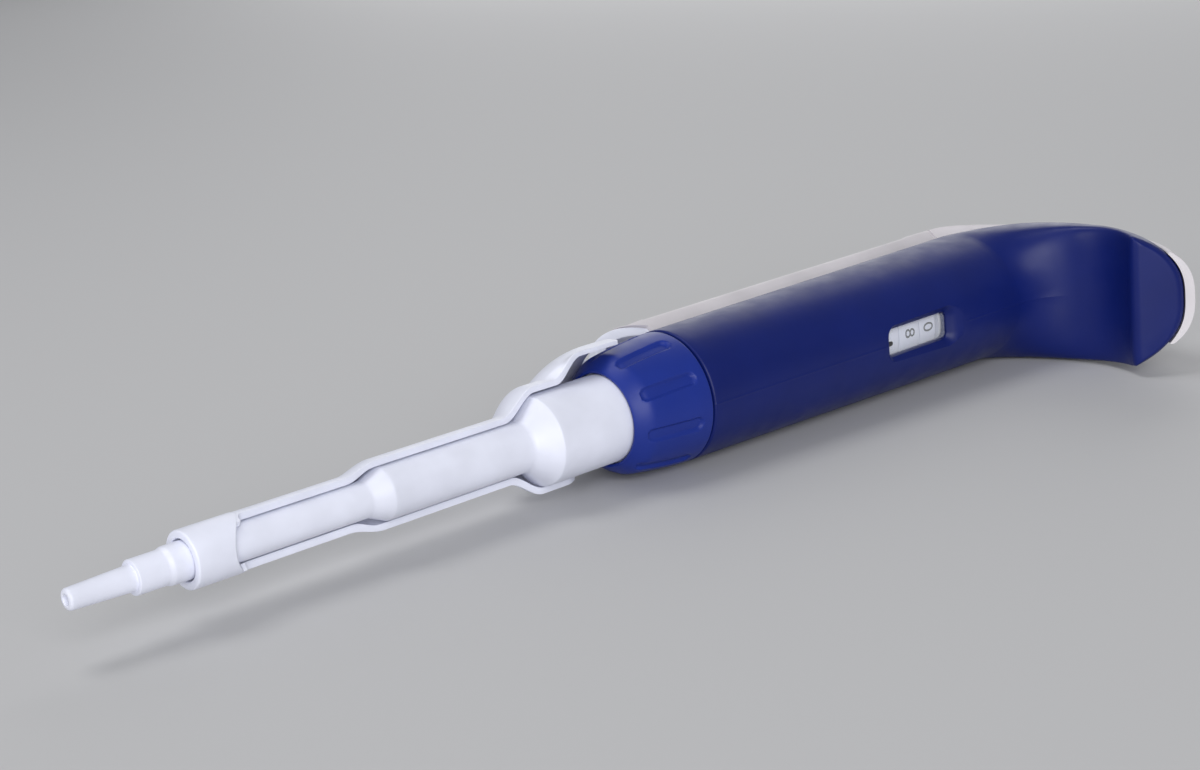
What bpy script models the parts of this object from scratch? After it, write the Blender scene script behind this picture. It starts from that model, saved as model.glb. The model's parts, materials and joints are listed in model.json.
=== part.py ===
"""A single-channel manual micropipette with a finger hook, lying on its side on a bench.

The pipette is modelled in its own frame, in millimetres: the nozzle's end is at the origin, +Z runs up
the plunger axis and +X points to the front, the side of the finger hook. The pieces are parented to one
empty that lays the whole pipette down on the bench, in metres, with +Z up.
"""
import math

import bmesh
import bpy
from mathutils import Matrix, Vector

MM = 0.001
TAU = 2 * math.pi

# Clearances
GAP = 0.3                    # between two pieces that touch
SLIDE_GAP = 0.4              # between a moving piece and what guides it
SEAM_GAP = 0.6               # the open line between coupling nut and handle
COUNTER_CLEAR = 0.5          # between the counter rings and what stands still round them
LENS_CLEAR = 0.25            # between the handle's bore and the window's pane
BAR_CLEAR = 0.8              # between the handle's back and the ejector bar
OVERRUN = 5.0                # how far a cutter reaches past what it cuts

# Shaft: nozzle, slim tube, middle tube and barrel in one moulding
NOZZLE_LENGTH = 10.9
NOZZLE_END_R = 1.75
NOZZLE_TOP_R = 2.12
NOZZLE_ROUND = 0.6
NOZZLE_BORE_R = 0.6
NOZZLE_BORE_LENGTH = 14.5
NOZZLE_BORE_TAPER = 0.5
STOP_LENGTH = 5.2            # neck above the shoulder that stops a tip
STOP_R = 2.86
STOP_CHAMFER = 0.2
FLARE_LENGTH = 0.8
TUBE_LENGTH = 37.1
TUBE_R = 3.16
STEP_LENGTH = 3.5
STEP_ROUND = 0.6
MIDDLE_LENGTH = 30.3
MIDDLE_R = 4.65
SHOULDER_LENGTH = 3.6
SHOULDER_ROUND = 0.9
BARREL_LENGTH = 20.4
BARREL_R = 8.2
BARREL_ROUND = 0.5
BARREL_WALL = 1.6
BARREL_FLOOR = 2.6
FLANGE_STEP = 1.0            # how far the flange stands out from the barrel
FLANGE_R = BARREL_R + FLANGE_STEP
FLANGE_THICK = 2.6
PISTON_BORE_R = 1.1
SEAL_BORE_R = 2.7
SEAL_BORE_LENGTH = 8.0
SEAL_FROM_MIDDLE = 0.5
SPRING_BORE_R = 3.6

# Shaft coupling nut
NUT_OVERLAP = 4.5            # how far the nut reaches down over the barrel
NUT_LENGTH = 16.6
NUT_LIP = 0.4
NUT_LOW_R = BARREL_R + GAP + NUT_LIP
NUT_TOP_R = 12.5
NUT_NOSE_LENGTH = 3.6
NUT_NOSE_RISE = 1.75
NUT_CHAMFER = 0.3
NUT_BORE_R = FLANGE_R + SLIDE_GAP
SLOT_COUNT = 9
SLOT_START_DEG = 12.0
SLOT_LENGTH = 12.6
SLOT_WIDTH = 2.5
SLOT_DEPTH = 0.7
SLOT_FLOOR_SHARE = 0.75      # width of the floor as a share of the slot's
SLOT_MOUTH_SHARE = 1.35      # width where its sides meet the air
SLOT_MOUTH_RISE = 1.0
SLOT_FROM_NUT_END = 1.7

# Handle, with the finger hook in one moulding
HANDLE_LENGTH = 89.2         # straight part, from the seam to where the finger curve starts
HANDLE_FRONT_LOW = 12.35     # axis to front face, at the seam
HANDLE_FRONT_HIGH = 14.8
HANDLE_BACK_LOW = 12.5
HANDLE_BACK_HIGH = 13.3
HANDLE_SIDE_LOW = 12.6
HANDLE_SIDE_HIGH = 13.7
HANDLE_EDGE_R = 0.5
FINGER_R = 12.7              # radius of the finger rest under the hook
HOOK_SWEEP_DEG = 130.7       # how far the hook curls round the finger
HOOK_THICK = 11.2
HOOK_EDGE_R = 0.9
HOOK_WIDEST = 1.0            # how far behind the finger face the hook's end is widest
HOOK_FRONT_SQUARE = 5.0      # 2 is a round section, more is squarer
HOOK_BACK_SQUARE = 2.9
HOOK_BULGE = 0.8             # extra half width half way round the hook
HOOK_TAPER = 0.34            # share of the width lost at the back of the hook's end
HEAD_RISE = 26.4             # top of the head above the start of the finger curve
HEAD_CORNER = 9.0            # size of the rounded corner from back to top
BORE_R = 11.0
BORE_LENGTH = 81.5
NECK_BORE_R = 8.4            # bore through the head
BASE_PLATE = 2.8             # plate that closes the bore at the seam
BASE_DROP = 2.0              # how far that plate reaches down inside the coupling nut

# Top cover
COVER_THICK = 2.0
COVER_FROM = 0.09            # where it starts, as a share of the head's sweep
COVER_THIN_FROM = 0.4        # where it has thinned to its thickness over the hook
COVER_EDGE_DEG = 51.0        # how far it wraps down each side
COVER_EDGE_SHARE = 0.5       # edge thickness as a share of the middle's

# Back cover and ejector
BAR_HALF_WIDTH = 4.0
BAR_THICK = 2.2
BAR_FROM_AXIS = HANDLE_BACK_HIGH + BAR_CLEAR
SPINE_WALL = 1.9             # behind the ejector bar's channel
SPINE_RISE = BAR_CLEAR + BAR_THICK + SLIDE_GAP + SPINE_WALL - GAP
COVER_START_STEP = 0.4       # how much lower the top cover starts than the back cover ends
COVER_START_THICK = SPINE_RISE - COVER_START_STEP
SPINE_HALF_DEG = 37.0
SPINE_FROM_SEAM = 8.8
SPINE_TOP_FROM_CURVE = 8.7
SPINE_HEAD_GAP = 0.25
EJECT_TRAVEL = 7.0
EJECT_SPRING_SLOT = 39.0
EJECT_LUG = 2.0
EJECT_LUG_HALF_WIDTH = 1.0
EJECT_LUG_ROOT = 0.5         # how deep the lug is set in the back cover
EJECT_LUG_FROM_SPINE = 20.0
EJECT_SPARE = 0.6            # slot length left over when the ejector is pressed
RING_LENGTH = 9.6
RING_FROM_STOP = 8.9
RING_BORE_R = TUBE_R + GAP
RING_WALL = 1.37
RING_R = RING_BORE_R + RING_WALL
RING_TAPER = 1.6             # length over which the ring's bore opens to the half pipe
ARM_WALL = 1.1
ARM_COLLAR_WALL = 1.45
ARM_CLEAR = 0.45             # between shaft and half pipe
ARM_LIP = 0.8                # how far behind the axis the half pipe's lips start
ARM_LIP_END = 1.4            # and end
ARM_CORNER_R = 1.5
ARM_NARROWS_FROM_BARREL = 10.0
ARM_TAIL_R = 2.5
ARM_TAIL_RISE = 0.6
ARM_STRIP_X = 9.0            # how far behind the axis the edges of the narrow strip lie
ARM_STRIP_R = 2.0
ARM_STEP_LEAD = 3.3          # where the arm starts to swell, below the step to the middle tube
ARM_STEP_END = 0.8
ARM_SHOULDER_LEAD = 2.6
ARM_SHOULDER_END = 1.25
ARM_NUT_LEAD = 9.8
ARM_NUT_END = 1.45
ARM_SKEW = 0.4               # how much wider each swell is outside than inside
NOSE_LENGTH = 15.8
NOSE_LAP = 4.0               # how far the strip's end stays short of the nose's
NOSE_START_RISE = 1.65
NOSE_ROOT = 0.05             # how deep the nose is set in the strip
NOSE_NOTCH_LENGTH = 4.0
NOSE_NOTCH_FROM_TOP = 8.5
NOSE_NOTCH_X = 12.3
NOSE_SLOPE = 5.0
EJECT_BUTTON_HEIGHT = 8.0
EJECT_BUTTON_HALF_WIDTH = 5.8
EJECT_BUTTON_DEPTH = 6.6
EJECT_BUTTON_ROUND = 1.5
EJECT_BUTTON_BEVEL = 0.9
EJECT_BUTTON_SEAT = 4.1      # how far below the head's top the pressed button comes down

# Counter window
WINDOW_FROM_SEAM = 50.0
WINDOW_LENGTH = 17.4
WINDOW_HALF_WIDTH = 2.4
WINDOW_CORNER_R = 0.9
WINDOW_SLOPE = 1.0           # how far the recess widens for each millimetre outward
LENS_THICK = 0.9
LENS_SINK = 0.15             # how far the pane lies below the recess
LENS_FROM_AXIS = BORE_R + LENS_CLEAR

# Counter rings
RING_PITCH = 6.5
COUNTER_R = BORE_R - COUNTER_CLEAR
COUNTER_WALL = 1.9
COUNTER_BORE_R = COUNTER_R - COUNTER_WALL
COUNTER_FROM_SEAM = 48.8
COUNTER_WEB = 2.0
TENS_SHORT = 0.8             # how much shorter the upper ring is

# Volume screw, stop nut, plunger and piston
SCREW_R = 4.8
ROD_R = 2.0
STOP_NUT_LENGTH = 17.5
GUIDE_WALL = 1.7             # sleeve that guides the stop nut
GUIDE_FOOT = 2.0
STOP_NUT_R = BORE_R - GAP - GUIDE_WALL - SLIDE_GAP
STOP_NUT_FLOOR = 2.0
KEY_WIDTH = 2.4
KEY_DEPTH = 1.3
KEY_ROOT = 1.0               # how deep the keys are set in the stop nut
KEY_FROM = 2.0
KEY_LENGTH = 8.0
VOLUME_UP = 7.8              # travel of the stop nut to the largest volume
VOLUME_DOWN = 3.9            # travel of the stop nut to the smallest volume
FIRST_STOP = 5.2             # plunger travel that moves the set volume
BLOW_OUT = 3.0               # further travel that empties the tip
STOP_COLLAR_LENGTH = 4.5
STOP_COLLAR_R = 6.2
BUSH_LENGTH = 8.0
BUSH_FROM_BORE = 2.0
KNOB_R = NECK_BORE_R - SLIDE_GAP
KNOB_HEIGHT = 15.2
KNOB_ABOVE_HEAD = 8.4
KNOB_FLOOR = 3.0
KNOB_CHAMFER = 0.5
KNOB_FLUTES = 24
KNOB_FLUTE_DEPTH = 0.35
KNOB_FLUTES_ABOVE_COVER = 1.0
BUTTON_R = 5.8
BUTTON_HEIGHT = 9.0
BUTTON_CHAMFER = 0.4
BUTTON_ROUND = 1.2
CAP_R = 4.4
CAP_THICK = 1.2
CAP_CHAMFER = 0.3
CAP_PROUD = 0.1
ROD_BELOW_CAP = 2.6
PISTON_R = 0.75
PISTON_SEAT = 2.2            # how far the piston reaches into its head
PISTON_HEAD_R = 3.3
PISTON_HEAD_LENGTH = 4.0
PISTON_HEAD_FROM_TOP = 7.8   # piston head's top below the top of the shaft
SEAL_LENGTH = 2.2
RETAINER_FLANGE = 1.0

# Coil springs: wire radius, mean coil radius and number of curls
PISTON_SPRING = (0.3, 2.7, 9)
BLOW_OUT_SPRING = (0.5, 5.0, 3)
EJECT_SPRING = (0.2, 0.75, 9)

# Facets round a full turn
ROUND = 40
ROUND_SMALL = 20
SECTION = 44

# Stations along the axis
Z_STOP = NOZZLE_LENGTH
Z_FLARE = Z_STOP + STOP_LENGTH
Z_TUBE = Z_FLARE + FLARE_LENGTH
Z_STEP = Z_TUBE + TUBE_LENGTH
Z_MIDDLE = Z_STEP + STEP_LENGTH
Z_SHOULDER = Z_MIDDLE + MIDDLE_LENGTH
Z_BARREL = Z_SHOULDER + SHOULDER_LENGTH
Z_SHAFT_TOP = Z_BARREL + BARREL_LENGTH
Z_NUT = Z_SHAFT_TOP - NUT_OVERLAP
Z_NUT_TOP = Z_NUT + NUT_LENGTH
Z_SEAM = Z_NUT_TOP + SEAM_GAP
Z_CURVE = Z_SEAM + HANDLE_LENGTH
Z_HEAD = Z_CURVE + HEAD_RISE
Z_BORE_TOP = Z_SEAM + BORE_LENGTH
Z_SPINE = Z_SEAM + SPINE_FROM_SEAM
Z_SPINE_TOP = Z_CURVE + SPINE_TOP_FROM_CURVE
Z_BASE_TOP = Z_SEAM + GAP + BASE_PLATE
Z_SEAL = Z_MIDDLE + SEAL_FROM_MIDDLE
Z_SEAL_TOP = Z_SEAL + SEAL_BORE_LENGTH
Z_PISTON_HEAD = Z_SHAFT_TOP - PISTON_HEAD_FROM_TOP
Z_COUNTER = Z_SEAM + COUNTER_FROM_SEAM
Z_STOP_NUT_TOP = Z_COUNTER - VOLUME_UP - COUNTER_CLEAR
Z_STOP_NUT = Z_STOP_NUT_TOP - STOP_NUT_LENGTH
Z_SCREW = Z_STOP_NUT + STOP_NUT_FLOOR + VOLUME_UP + GAP
Z_KNOB_TOP = Z_HEAD + KNOB_ABOVE_HEAD
Z_KNOB = Z_KNOB_TOP - KNOB_HEIGHT
Z_KNOB_FLOOR = Z_KNOB + KNOB_FLOOR
PRESS = FIRST_STOP + BLOW_OUT
Z_BUTTON = Z_KNOB_FLOOR + PRESS + VOLUME_DOWN + 2 * GAP
Z_RING = Z_STOP + RING_FROM_STOP
Z_RING_TOP = Z_RING + RING_LENGTH
Z_EJECT_BUTTON = Z_HEAD - EJECT_BUTTON_SEAT + EJECT_TRAVEL
Z_EJECT_LUG = Z_SPINE + EJECT_LUG_FROM_SPINE
Z_BAR_SLOT = Z_EJECT_LUG - EJECT_TRAVEL - EJECT_SPARE
Z_BAR_SLOT_TOP = Z_BAR_SLOT + EJECT_SPRING_SLOT
PIVOT_X = HANDLE_FRONT_HIGH + FINGER_R


def material(name, colour, roughness, metallic=0.0):
    """A Principled BSDF material for one piece."""
    made = bpy.data.materials.new(name)
    made.use_nodes = True
    shader = made.node_tree.nodes["Principled BSDF"]
    shader.inputs["Base Color"].default_value = (*colour, 1.0)
    shader.inputs["Roughness"].default_value = roughness
    shader.inputs["Metallic"].default_value = metallic
    return made


BLUE = (0.02, 0.03, 0.17)
WHITE = (0.77, 0.79, 0.86)
GREY = (0.58, 0.56, 0.57)
STEEL = (0.6, 0.6, 0.62)
BLACK = (0.02, 0.02, 0.02)
CLEAR = (0.85, 0.88, 0.9)
CREAM = (0.7, 0.68, 0.6)


def finish(obj, colour, roughness, metallic=0.0):
    """Gives a piece its material and smooth shading, and hangs it on the pipette's frame."""
    obj.data.materials.append(material(obj.name + "_finish", colour, roughness, metallic))
    if obj.type == "MESH":
        obj.data.shade_smooth()
        obj.data.set_sharp_from_angle(angle=math.radians(35))
    obj.parent = PIPETTE
    return obj


def from_bmesh(name, shape):
    """An object from a shape in millimetres, closed and facing out."""
    bmesh.ops.remove_doubles(shape, verts=shape.verts, dist=1e-5)
    bmesh.ops.recalc_face_normals(shape, faces=shape.faces)
    if shape.calc_volume(signed=True) < 0:
        bmesh.ops.reverse_faces(shape, faces=shape.faces)
    bmesh.ops.scale(shape, vec=(MM, MM, MM), verts=shape.verts)
    mesh = bpy.data.meshes.new(name)
    shape.to_mesh(mesh)
    shape.free()
    obj = bpy.data.objects.new(name, mesh)
    bpy.context.scene.collection.objects.link(obj)
    return obj


def turned(name, outline, steps=ROUND):
    """A piece turned about the axis from a closed outline of (radius, height) points."""
    shape = bmesh.new()
    points = [shape.verts.new((radius, 0, height)) for radius, height in outline]
    edges = [shape.edges.new((a, b)) for a, b in zip(points, points[1:] + points[:1])]
    bmesh.ops.spin(shape, geom=points + edges, cent=(0, 0, 0), axis=(0, 0, 1), angle=TAU,
                   steps=steps, use_merge=True)
    bmesh.ops.remove_doubles(shape, verts=shape.verts, dist=1e-4)
    bmesh.ops.dissolve_degenerate(shape, edges=shape.edges, dist=1e-5)
    return from_bmesh(name, shape)


def sleeve(name, inner, outer, low, high, steps=ROUND_SMALL):
    """A plain turned tube."""
    return turned(name, [(inner, low), (outer, low), (outer, high), (inner, high)], steps)


def lofted(name, rings):
    """A piece skinned over rings of points, with both ends closed."""
    shape = bmesh.new()
    rows = [[shape.verts.new(point) for point in ring] for ring in rings]
    for low, high in zip(rows, rows[1:]):
        count = len(low)
        for i in range(count):
            j = (i + 1) % count
            shape.faces.new((low[i], low[j], high[j], high[i]))
    shape.faces.new(rows[0])
    shape.faces.new(rows[-1])
    return from_bmesh(name, shape)


def helper(obj):
    """Hides a cutter or other guide from the finished model."""
    obj.hide_render = True
    obj.display_type = "WIRE"
    obj.parent = PIPETTE
    return obj


def combine(obj, other, operation):
    modifier = obj.modifiers.new(operation.lower() + "_" + other.name, "BOOLEAN")
    modifier.object = helper(other)
    modifier.operation = operation
    return obj


def cut(obj, other):
    return combine(obj, other, "DIFFERENCE")


def add(obj, other):
    return combine(obj, other, "UNION")


def arc(centre, radius, start_deg, end_deg, steps):
    """Points along an arc of an outline."""
    angles = [math.radians(start_deg + (end_deg - start_deg) * i / steps) for i in range(steps + 1)]
    return [(centre[0] + radius * math.cos(a), centre[1] + radius * math.sin(a)) for a in angles]


def eased(t):
    """0 to 1 with a level start and end."""
    return t * t * (3 - 2 * t)


def s_curve(start, end, steps=4):
    """Outline points that swing from one (radius, height) to another, level in height at both."""
    made = []
    for i in range(steps + 1):
        t = i / steps
        made.append((start[0] + (end[0] - start[0]) * eased(t), start[1] + (end[1] - start[1]) * t))
    return made


def rounded_corner(before, corner, after, setback, steps=3):
    """Outline points that round a corner between two straight runs."""
    corner = Vector(corner)
    start = corner + (Vector(before) - corner).normalized() * setback
    end = corner + (Vector(after) - corner).normalized() * setback
    shares = [i / steps for i in range(steps + 1)]
    return [tuple(start * (1 - t) ** 2 + corner * 2 * t * (1 - t) + end * t ** 2) for t in shares]


def box(name, low, high):
    """A block between two corners."""
    middle = [(a + b) / 2 for a, b in zip(low, high)]
    size = [b - a for a, b in zip(low, high)]
    shape = bmesh.new()
    bmesh.ops.create_cube(shape, size=1.0, matrix=Matrix.Translation(middle) @ Matrix.Diagonal((*size, 1)))
    return from_bmesh(name, shape)


def slab(name, outline, half_width):
    """A side view of (x, z) points given a width either way in y."""
    return lofted(name, [[(x, y, z) for x, z in outline] for y in (-half_width, half_width)])


def rounded_box_ring(x, half_width, low, high, radius, steps=4):
    """A rounded rectangle in the plane at x, between two heights."""
    corners = ((half_width, high, 0), (-half_width, high, 90), (-half_width, low, 180), (half_width, low, 270))
    ring = []
    for y, z, turn in corners:
        centre = (y - math.copysign(radius, y), z - radius if z == high else z + radius)
        ring += arc(centre, radius, turn, turn + 90, steps)
    return [(x, y, z) for y, z in ring]


def coil(name, spring, low, high, centre_x=0.0):
    """One unbroken coil of wire with its axis along the pipette."""
    wire, radius, curls = spring
    per_curl = 8
    count = curls * per_curl
    rise = (high - low - 2 * wire) / count
    curve = bpy.data.curves.new(name, "CURVE")
    curve.dimensions = "3D"
    curve.bevel_depth = wire * MM
    curve.bevel_resolution = 1
    curve.use_fill_caps = True
    spline = curve.splines.new("POLY")
    spline.points.add(count)
    for i, point in enumerate(spline.points):
        turn = TAU * i / per_curl
        place = Vector((centre_x + radius * math.cos(turn), radius * math.sin(turn), low + wire + rise * i))
        point.co = (*(place * MM), 1.0)
    print(name, "least gap between curls, mm:", round(rise * per_curl - 2 * wire, 3))
    obj = bpy.data.objects.new(name, curve)
    bpy.context.scene.collection.objects.link(obj)
    return obj


def blend(low, high, t):
    return low + (high - low) * t


def section_point(angle, section, lift=0.0):
    """A point of a section, as distance behind the front point and distance to the side.

    The section runs from a front point to a back point of the side view, each (x, z). It is widest at
    centre millimetres behind the front. front_square and back_square are 2 for a round half and more for
    a squarer one, and taper narrows the back half.
    """
    front, back, centre, half_width, front_square, back_square, taper = section
    depth = math.dist(front, back)
    c = math.cos(angle)
    s = math.sin(angle)
    power = 2 / (front_square if c > 0 else back_square)
    along = math.copysign(abs(c) ** power, c)
    side = math.copysign(abs(s) ** power, s)
    if c > 0:
        return centre - (centre + lift) * along, (half_width + lift) * side
    return centre - (depth - centre + lift) * along, (half_width + lift) * side * (1 + taper * along)


def in_side_view(section, at, side):
    """Places a section point in the pipette's frame."""
    front, back = section[:2]
    depth = math.dist(front, back)
    return (front[0] + (back[0] - front[0]) * at / depth, side, front[1] + (back[1] - front[1]) * at / depth)


def section_ring(section, inset=0.0):
    """A closed ring of points round a section."""
    return [in_side_view(section, *section_point(TAU * i / SECTION, section, -inset)) for i in range(SECTION)]


def straight_size(z):
    """Front, back and side distances of the straight handle at a height."""
    t = min(max((z - Z_SEAM) / HANDLE_LENGTH, 0.0), 1.0)
    front = blend(HANDLE_FRONT_LOW, HANDLE_FRONT_HIGH, eased(t) * 0.4 + t * 0.6)
    return front, blend(HANDLE_BACK_LOW, HANDLE_BACK_HIGH, t), blend(HANDLE_SIDE_LOW, HANDLE_SIDE_HIGH, t)


def hook_tip():
    """Front and back points of the hook's end face in the side view."""
    turn = math.radians(HOOK_SWEEP_DEG)
    out = Vector((-math.cos(turn), math.sin(turn)))
    pivot = Vector((PIVOT_X, Z_CURVE))
    return pivot + out * FINGER_R, pivot + out * (FINGER_R + HOOK_THICK)


def head_line(t):
    """The head's outer line in the side view: up the back, round the corner and down to the hook's tip."""
    back = -HANDLE_BACK_HIGH
    tip = hook_tip()[1]
    knots = [
        (back, Z_CURVE),
        (back - 0.2, Z_HEAD - 1.45 * HEAD_CORNER),
        (back + 0.42 * HEAD_CORNER, Z_HEAD - 0.36 * HEAD_CORNER),
        (back + 1.7 * HEAD_CORNER, Z_HEAD),
        (PIVOT_X - 0.4 * FINGER_R, Z_HEAD + 0.2),
        (PIVOT_X + 0.68 * FINGER_R, Z_HEAD - 2.9),
        (tip.x, tip.y),
    ]
    place = t * (len(knots) - 1)
    k = min(int(place), len(knots) - 2)
    u = place - k
    before = knots[k - 1] if k else (back, Z_CURVE - 12.0)
    after = knots[k + 2] if k + 2 < len(knots) else (tip.x + 5.0, tip.y - 8.0)
    made = []
    for p0, p1, p2, p3 in zip(before, knots[k], knots[k + 1], after):
        made.append(0.5 * (2 * p1 + (p2 - p0) * u + (2 * p0 - 5 * p1 + 4 * p2 - p3) * u ** 2
                           + (3 * p1 - p0 - 3 * p2 + p3) * u ** 3))
    return made


def straight_section(z):
    front, back, side = straight_size(z)
    return (front, z), (-back, z), front, side, 2.0, 2.0, 0.0


def head_section(t):
    """The head's section at 0 to 1 along its sweep."""
    turn = math.radians(HOOK_SWEEP_DEG) * t
    front = (PIVOT_X - FINGER_R * math.cos(turn), Z_CURVE + FINGER_R * math.sin(turn))
    centre = blend(HOOK_WIDEST, HANDLE_FRONT_HIGH, (1 - t) ** 2.2)
    late = eased(max(t - 0.45, 0) / 0.55)
    side = HANDLE_SIDE_HIGH + HOOK_BULGE * math.sin(math.pi * t)
    return (front, head_line(t), centre, side, blend(2.0, HOOK_FRONT_SQUARE, eased(min(1.5 * t, 1))),
            blend(2.0, HOOK_BACK_SQUARE, late), blend(0.0, HOOK_TAPER, late))


def handle_solid(name):
    """The handle and hook as one solid, without its bores."""
    rings = []
    for share in (0.0, 0.3, 1.0):
        inset = HANDLE_EDGE_R * (1 - share) ** 3
        rings.append(section_ring(straight_section(Z_SEAM + HANDLE_EDGE_R * share), inset))
    for i in range(1, 7):
        rings.append(section_ring(straight_section(Z_SEAM + HANDLE_LENGTH * i / 6)))
    steps = 18
    for i in range(1, steps + 1):
        rings.append(section_ring(head_section(i / steps)))
    front, back, *shape = head_section(1.0)
    out = Vector((back[1] - front[1], -(back[0] - front[0]))).normalized()
    for turn_deg in (30, 60, 90):
        turn = math.radians(turn_deg)
        push = out * HOOK_EDGE_R * math.sin(turn)
        moved = (Vector(front) + push, Vector(back) + push, *shape)
        rings.append(section_ring(moved, HOOK_EDGE_R * (1 - math.cos(turn))))
    return lofted(name, rings)


def make_handle():
    handle = handle_solid("handle")
    cut(handle, turned("handle_bore_cutter", [
        (0, Z_SEAM - OVERRUN), (BORE_R, Z_SEAM - OVERRUN), (BORE_R, Z_BORE_TOP), (NECK_BORE_R, Z_BORE_TOP),
        (NECK_BORE_R, Z_HEAD + OVERRUN), (0, Z_HEAD + OVERRUN)]))
    low = Z_SEAM + WINDOW_FROM_SEAM
    high = low + WINDOW_LENGTH
    floor_x = LENS_FROM_AXIS + LENS_THICK + LENS_SINK
    spread = WINDOW_SLOPE * OVERRUN
    cut(handle, lofted("window_bevel_cutter", [
        rounded_box_ring(floor_x, WINDOW_HALF_WIDTH, low, high, WINDOW_CORNER_R),
        rounded_box_ring(floor_x + OVERRUN, WINDOW_HALF_WIDTH + spread, low - spread, high + spread,
                         WINDOW_CORNER_R + spread)]))
    rings = [rounded_box_ring(x, WINDOW_HALF_WIDTH, low, high, WINDOW_CORNER_R)
             for x in (BORE_R - OVERRUN, floor_x + GAP)]
    cut(handle, lofted("window_hole_cutter", rings))
    return finish(handle, BLUE, 0.38)


def make_window_lens():
    low = Z_SEAM + WINDOW_FROM_SEAM + GAP
    high = low + WINDOW_LENGTH - 2 * GAP
    rings = [rounded_box_ring(x, WINDOW_HALF_WIDTH - GAP, low, high, WINDOW_CORNER_R - GAP)
             for x in (LENS_FROM_AXIS, LENS_FROM_AXIS + LENS_THICK)]
    return finish(lofted("window_lens", rings), CLEAR, 0.05)


def cover_section(t):
    """The top cover's crescent section over the head at 0 to 1 along it."""
    section = head_section(t)
    thinned = eased(min((t - COVER_FROM) / (COVER_THIN_FROM - COVER_FROM), 1))
    middle = blend(COVER_START_THICK, COVER_THICK, thinned)
    edge = math.radians(blend(SPINE_HALF_DEG, COVER_EDGE_DEG, thinned))
    outer = []
    inner = []
    steps = 14
    nudge = 0.01
    for i in range(steps + 1):
        share = 2 * i / steps - 1
        angle = math.pi + edge * share
        place = Vector(section_point(angle, section))
        run = Vector(section_point(angle + nudge, section)) - Vector(section_point(angle - nudge, section))
        normal = Vector((abs(run.y), -run.x if run.y > 0 else run.x)).normalized()
        thick = middle * blend(1, blend(1, COVER_EDGE_SHARE, thinned), abs(share) ** 3)
        inner.append(in_side_view(section, *(place + normal * GAP)))
        outer.append(in_side_view(section, *(place + normal * (GAP + thick))))
    return outer + inner[::-1]


def make_top_cover():
    steps = 16
    rings = [cover_section(blend(COVER_FROM, 1.0, i / steps)) for i in range(steps + 1)]
    cover = lofted("top_cover", rings)
    reach = 2 * HANDLE_SIDE_HIGH
    cut(cover, sleeve("cover_hole_cutter", 0, NECK_BORE_R, Z_CURVE, Z_HEAD + reach, ROUND))
    width = BAR_HALF_WIDTH + SLIDE_GAP
    cut(cover, box("cover_slot_cutter", (-(BAR_FROM_AXIS + BAR_THICK + SLIDE_GAP), -width, Z_CURVE),
                   (-(BAR_FROM_AXIS - SLIDE_GAP), width, Z_HEAD + reach)))
    cut(cover, box("cover_foot_cutter", (-reach, -reach, Z_CURVE - reach), (reach, reach, Z_SPINE_TOP + GAP)))
    return finish(cover, GREY, 0.42)


def spine_section(z):
    """Back cover: an arch over the handle's back, with a channel for the ejector bar."""
    back, side = straight_size(z)[1:]
    half = math.radians(SPINE_HALF_DEG)
    if z > Z_CURVE:
        back += SPINE_HEAD_GAP
        side += SPINE_HEAD_GAP
    channel_x = -(BAR_FROM_AXIS + BAR_THICK + SLIDE_GAP)
    channel_y = BAR_HALF_WIDTH + SLIDE_GAP
    steps = 10
    outer = []
    inner = []
    for i in range(steps + 1):
        angle = blend(-half, half, i / steps)
        lift = GAP + SPINE_RISE
        outer.append((-(back + lift) * math.cos(angle), (side + lift) * math.sin(angle), z))
    start = math.asin(channel_y / (side + GAP))
    for i in range(4):
        angle = blend(half, start, i / 3)
        inner.append((-(back + GAP) * math.cos(angle), (side + GAP) * math.sin(angle), z))
    inner.append((channel_x, channel_y, z))
    mirrored = [(x, -y, z) for x, y, z in inner[::-1]]
    return outer + inner + mirrored


def make_back_cover():
    steps = 12
    rings = [spine_section(blend(Z_SPINE, Z_SPINE_TOP, i / steps)) for i in range(steps + 1)]
    cover = lofted("back_cover", rings)
    lug_x = BAR_FROM_AXIS + BAR_THICK + SLIDE_GAP + EJECT_LUG_ROOT
    add(cover, box("eject_spring_lug", (-lug_x, -EJECT_LUG_HALF_WIDTH, Z_EJECT_LUG),
                   (-BAR_FROM_AXIS, EJECT_LUG_HALF_WIDTH, Z_EJECT_LUG + EJECT_LUG)))
    return finish(cover, GREY, 0.45)


def make_ejector_bar():
    x = -BAR_FROM_AXIS
    bar = box("ejector_bar", (x - BAR_THICK, -BAR_HALF_WIDTH, Z_SPINE),
              (x, BAR_HALF_WIDTH, Z_EJECT_BUTTON - GAP))
    slot_half = EJECT_LUG_HALF_WIDTH + SLIDE_GAP
    cut(bar, box("bar_slot_cutter", (x - BAR_THICK - OVERRUN, -slot_half, Z_BAR_SLOT),
                 (x + OVERRUN, slot_half, Z_BAR_SLOT_TOP)))
    return finish(bar, STEEL, 0.35, 1.0)


def make_ejector_spring():
    spring = coil("ejector_spring", EJECT_SPRING, Z_EJECT_LUG + EJECT_LUG + GAP, Z_BAR_SLOT_TOP - GAP,
                  -(BAR_FROM_AXIS + BAR_THICK / 2))
    return finish(spring, STEEL, 0.3, 1.0)


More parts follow.
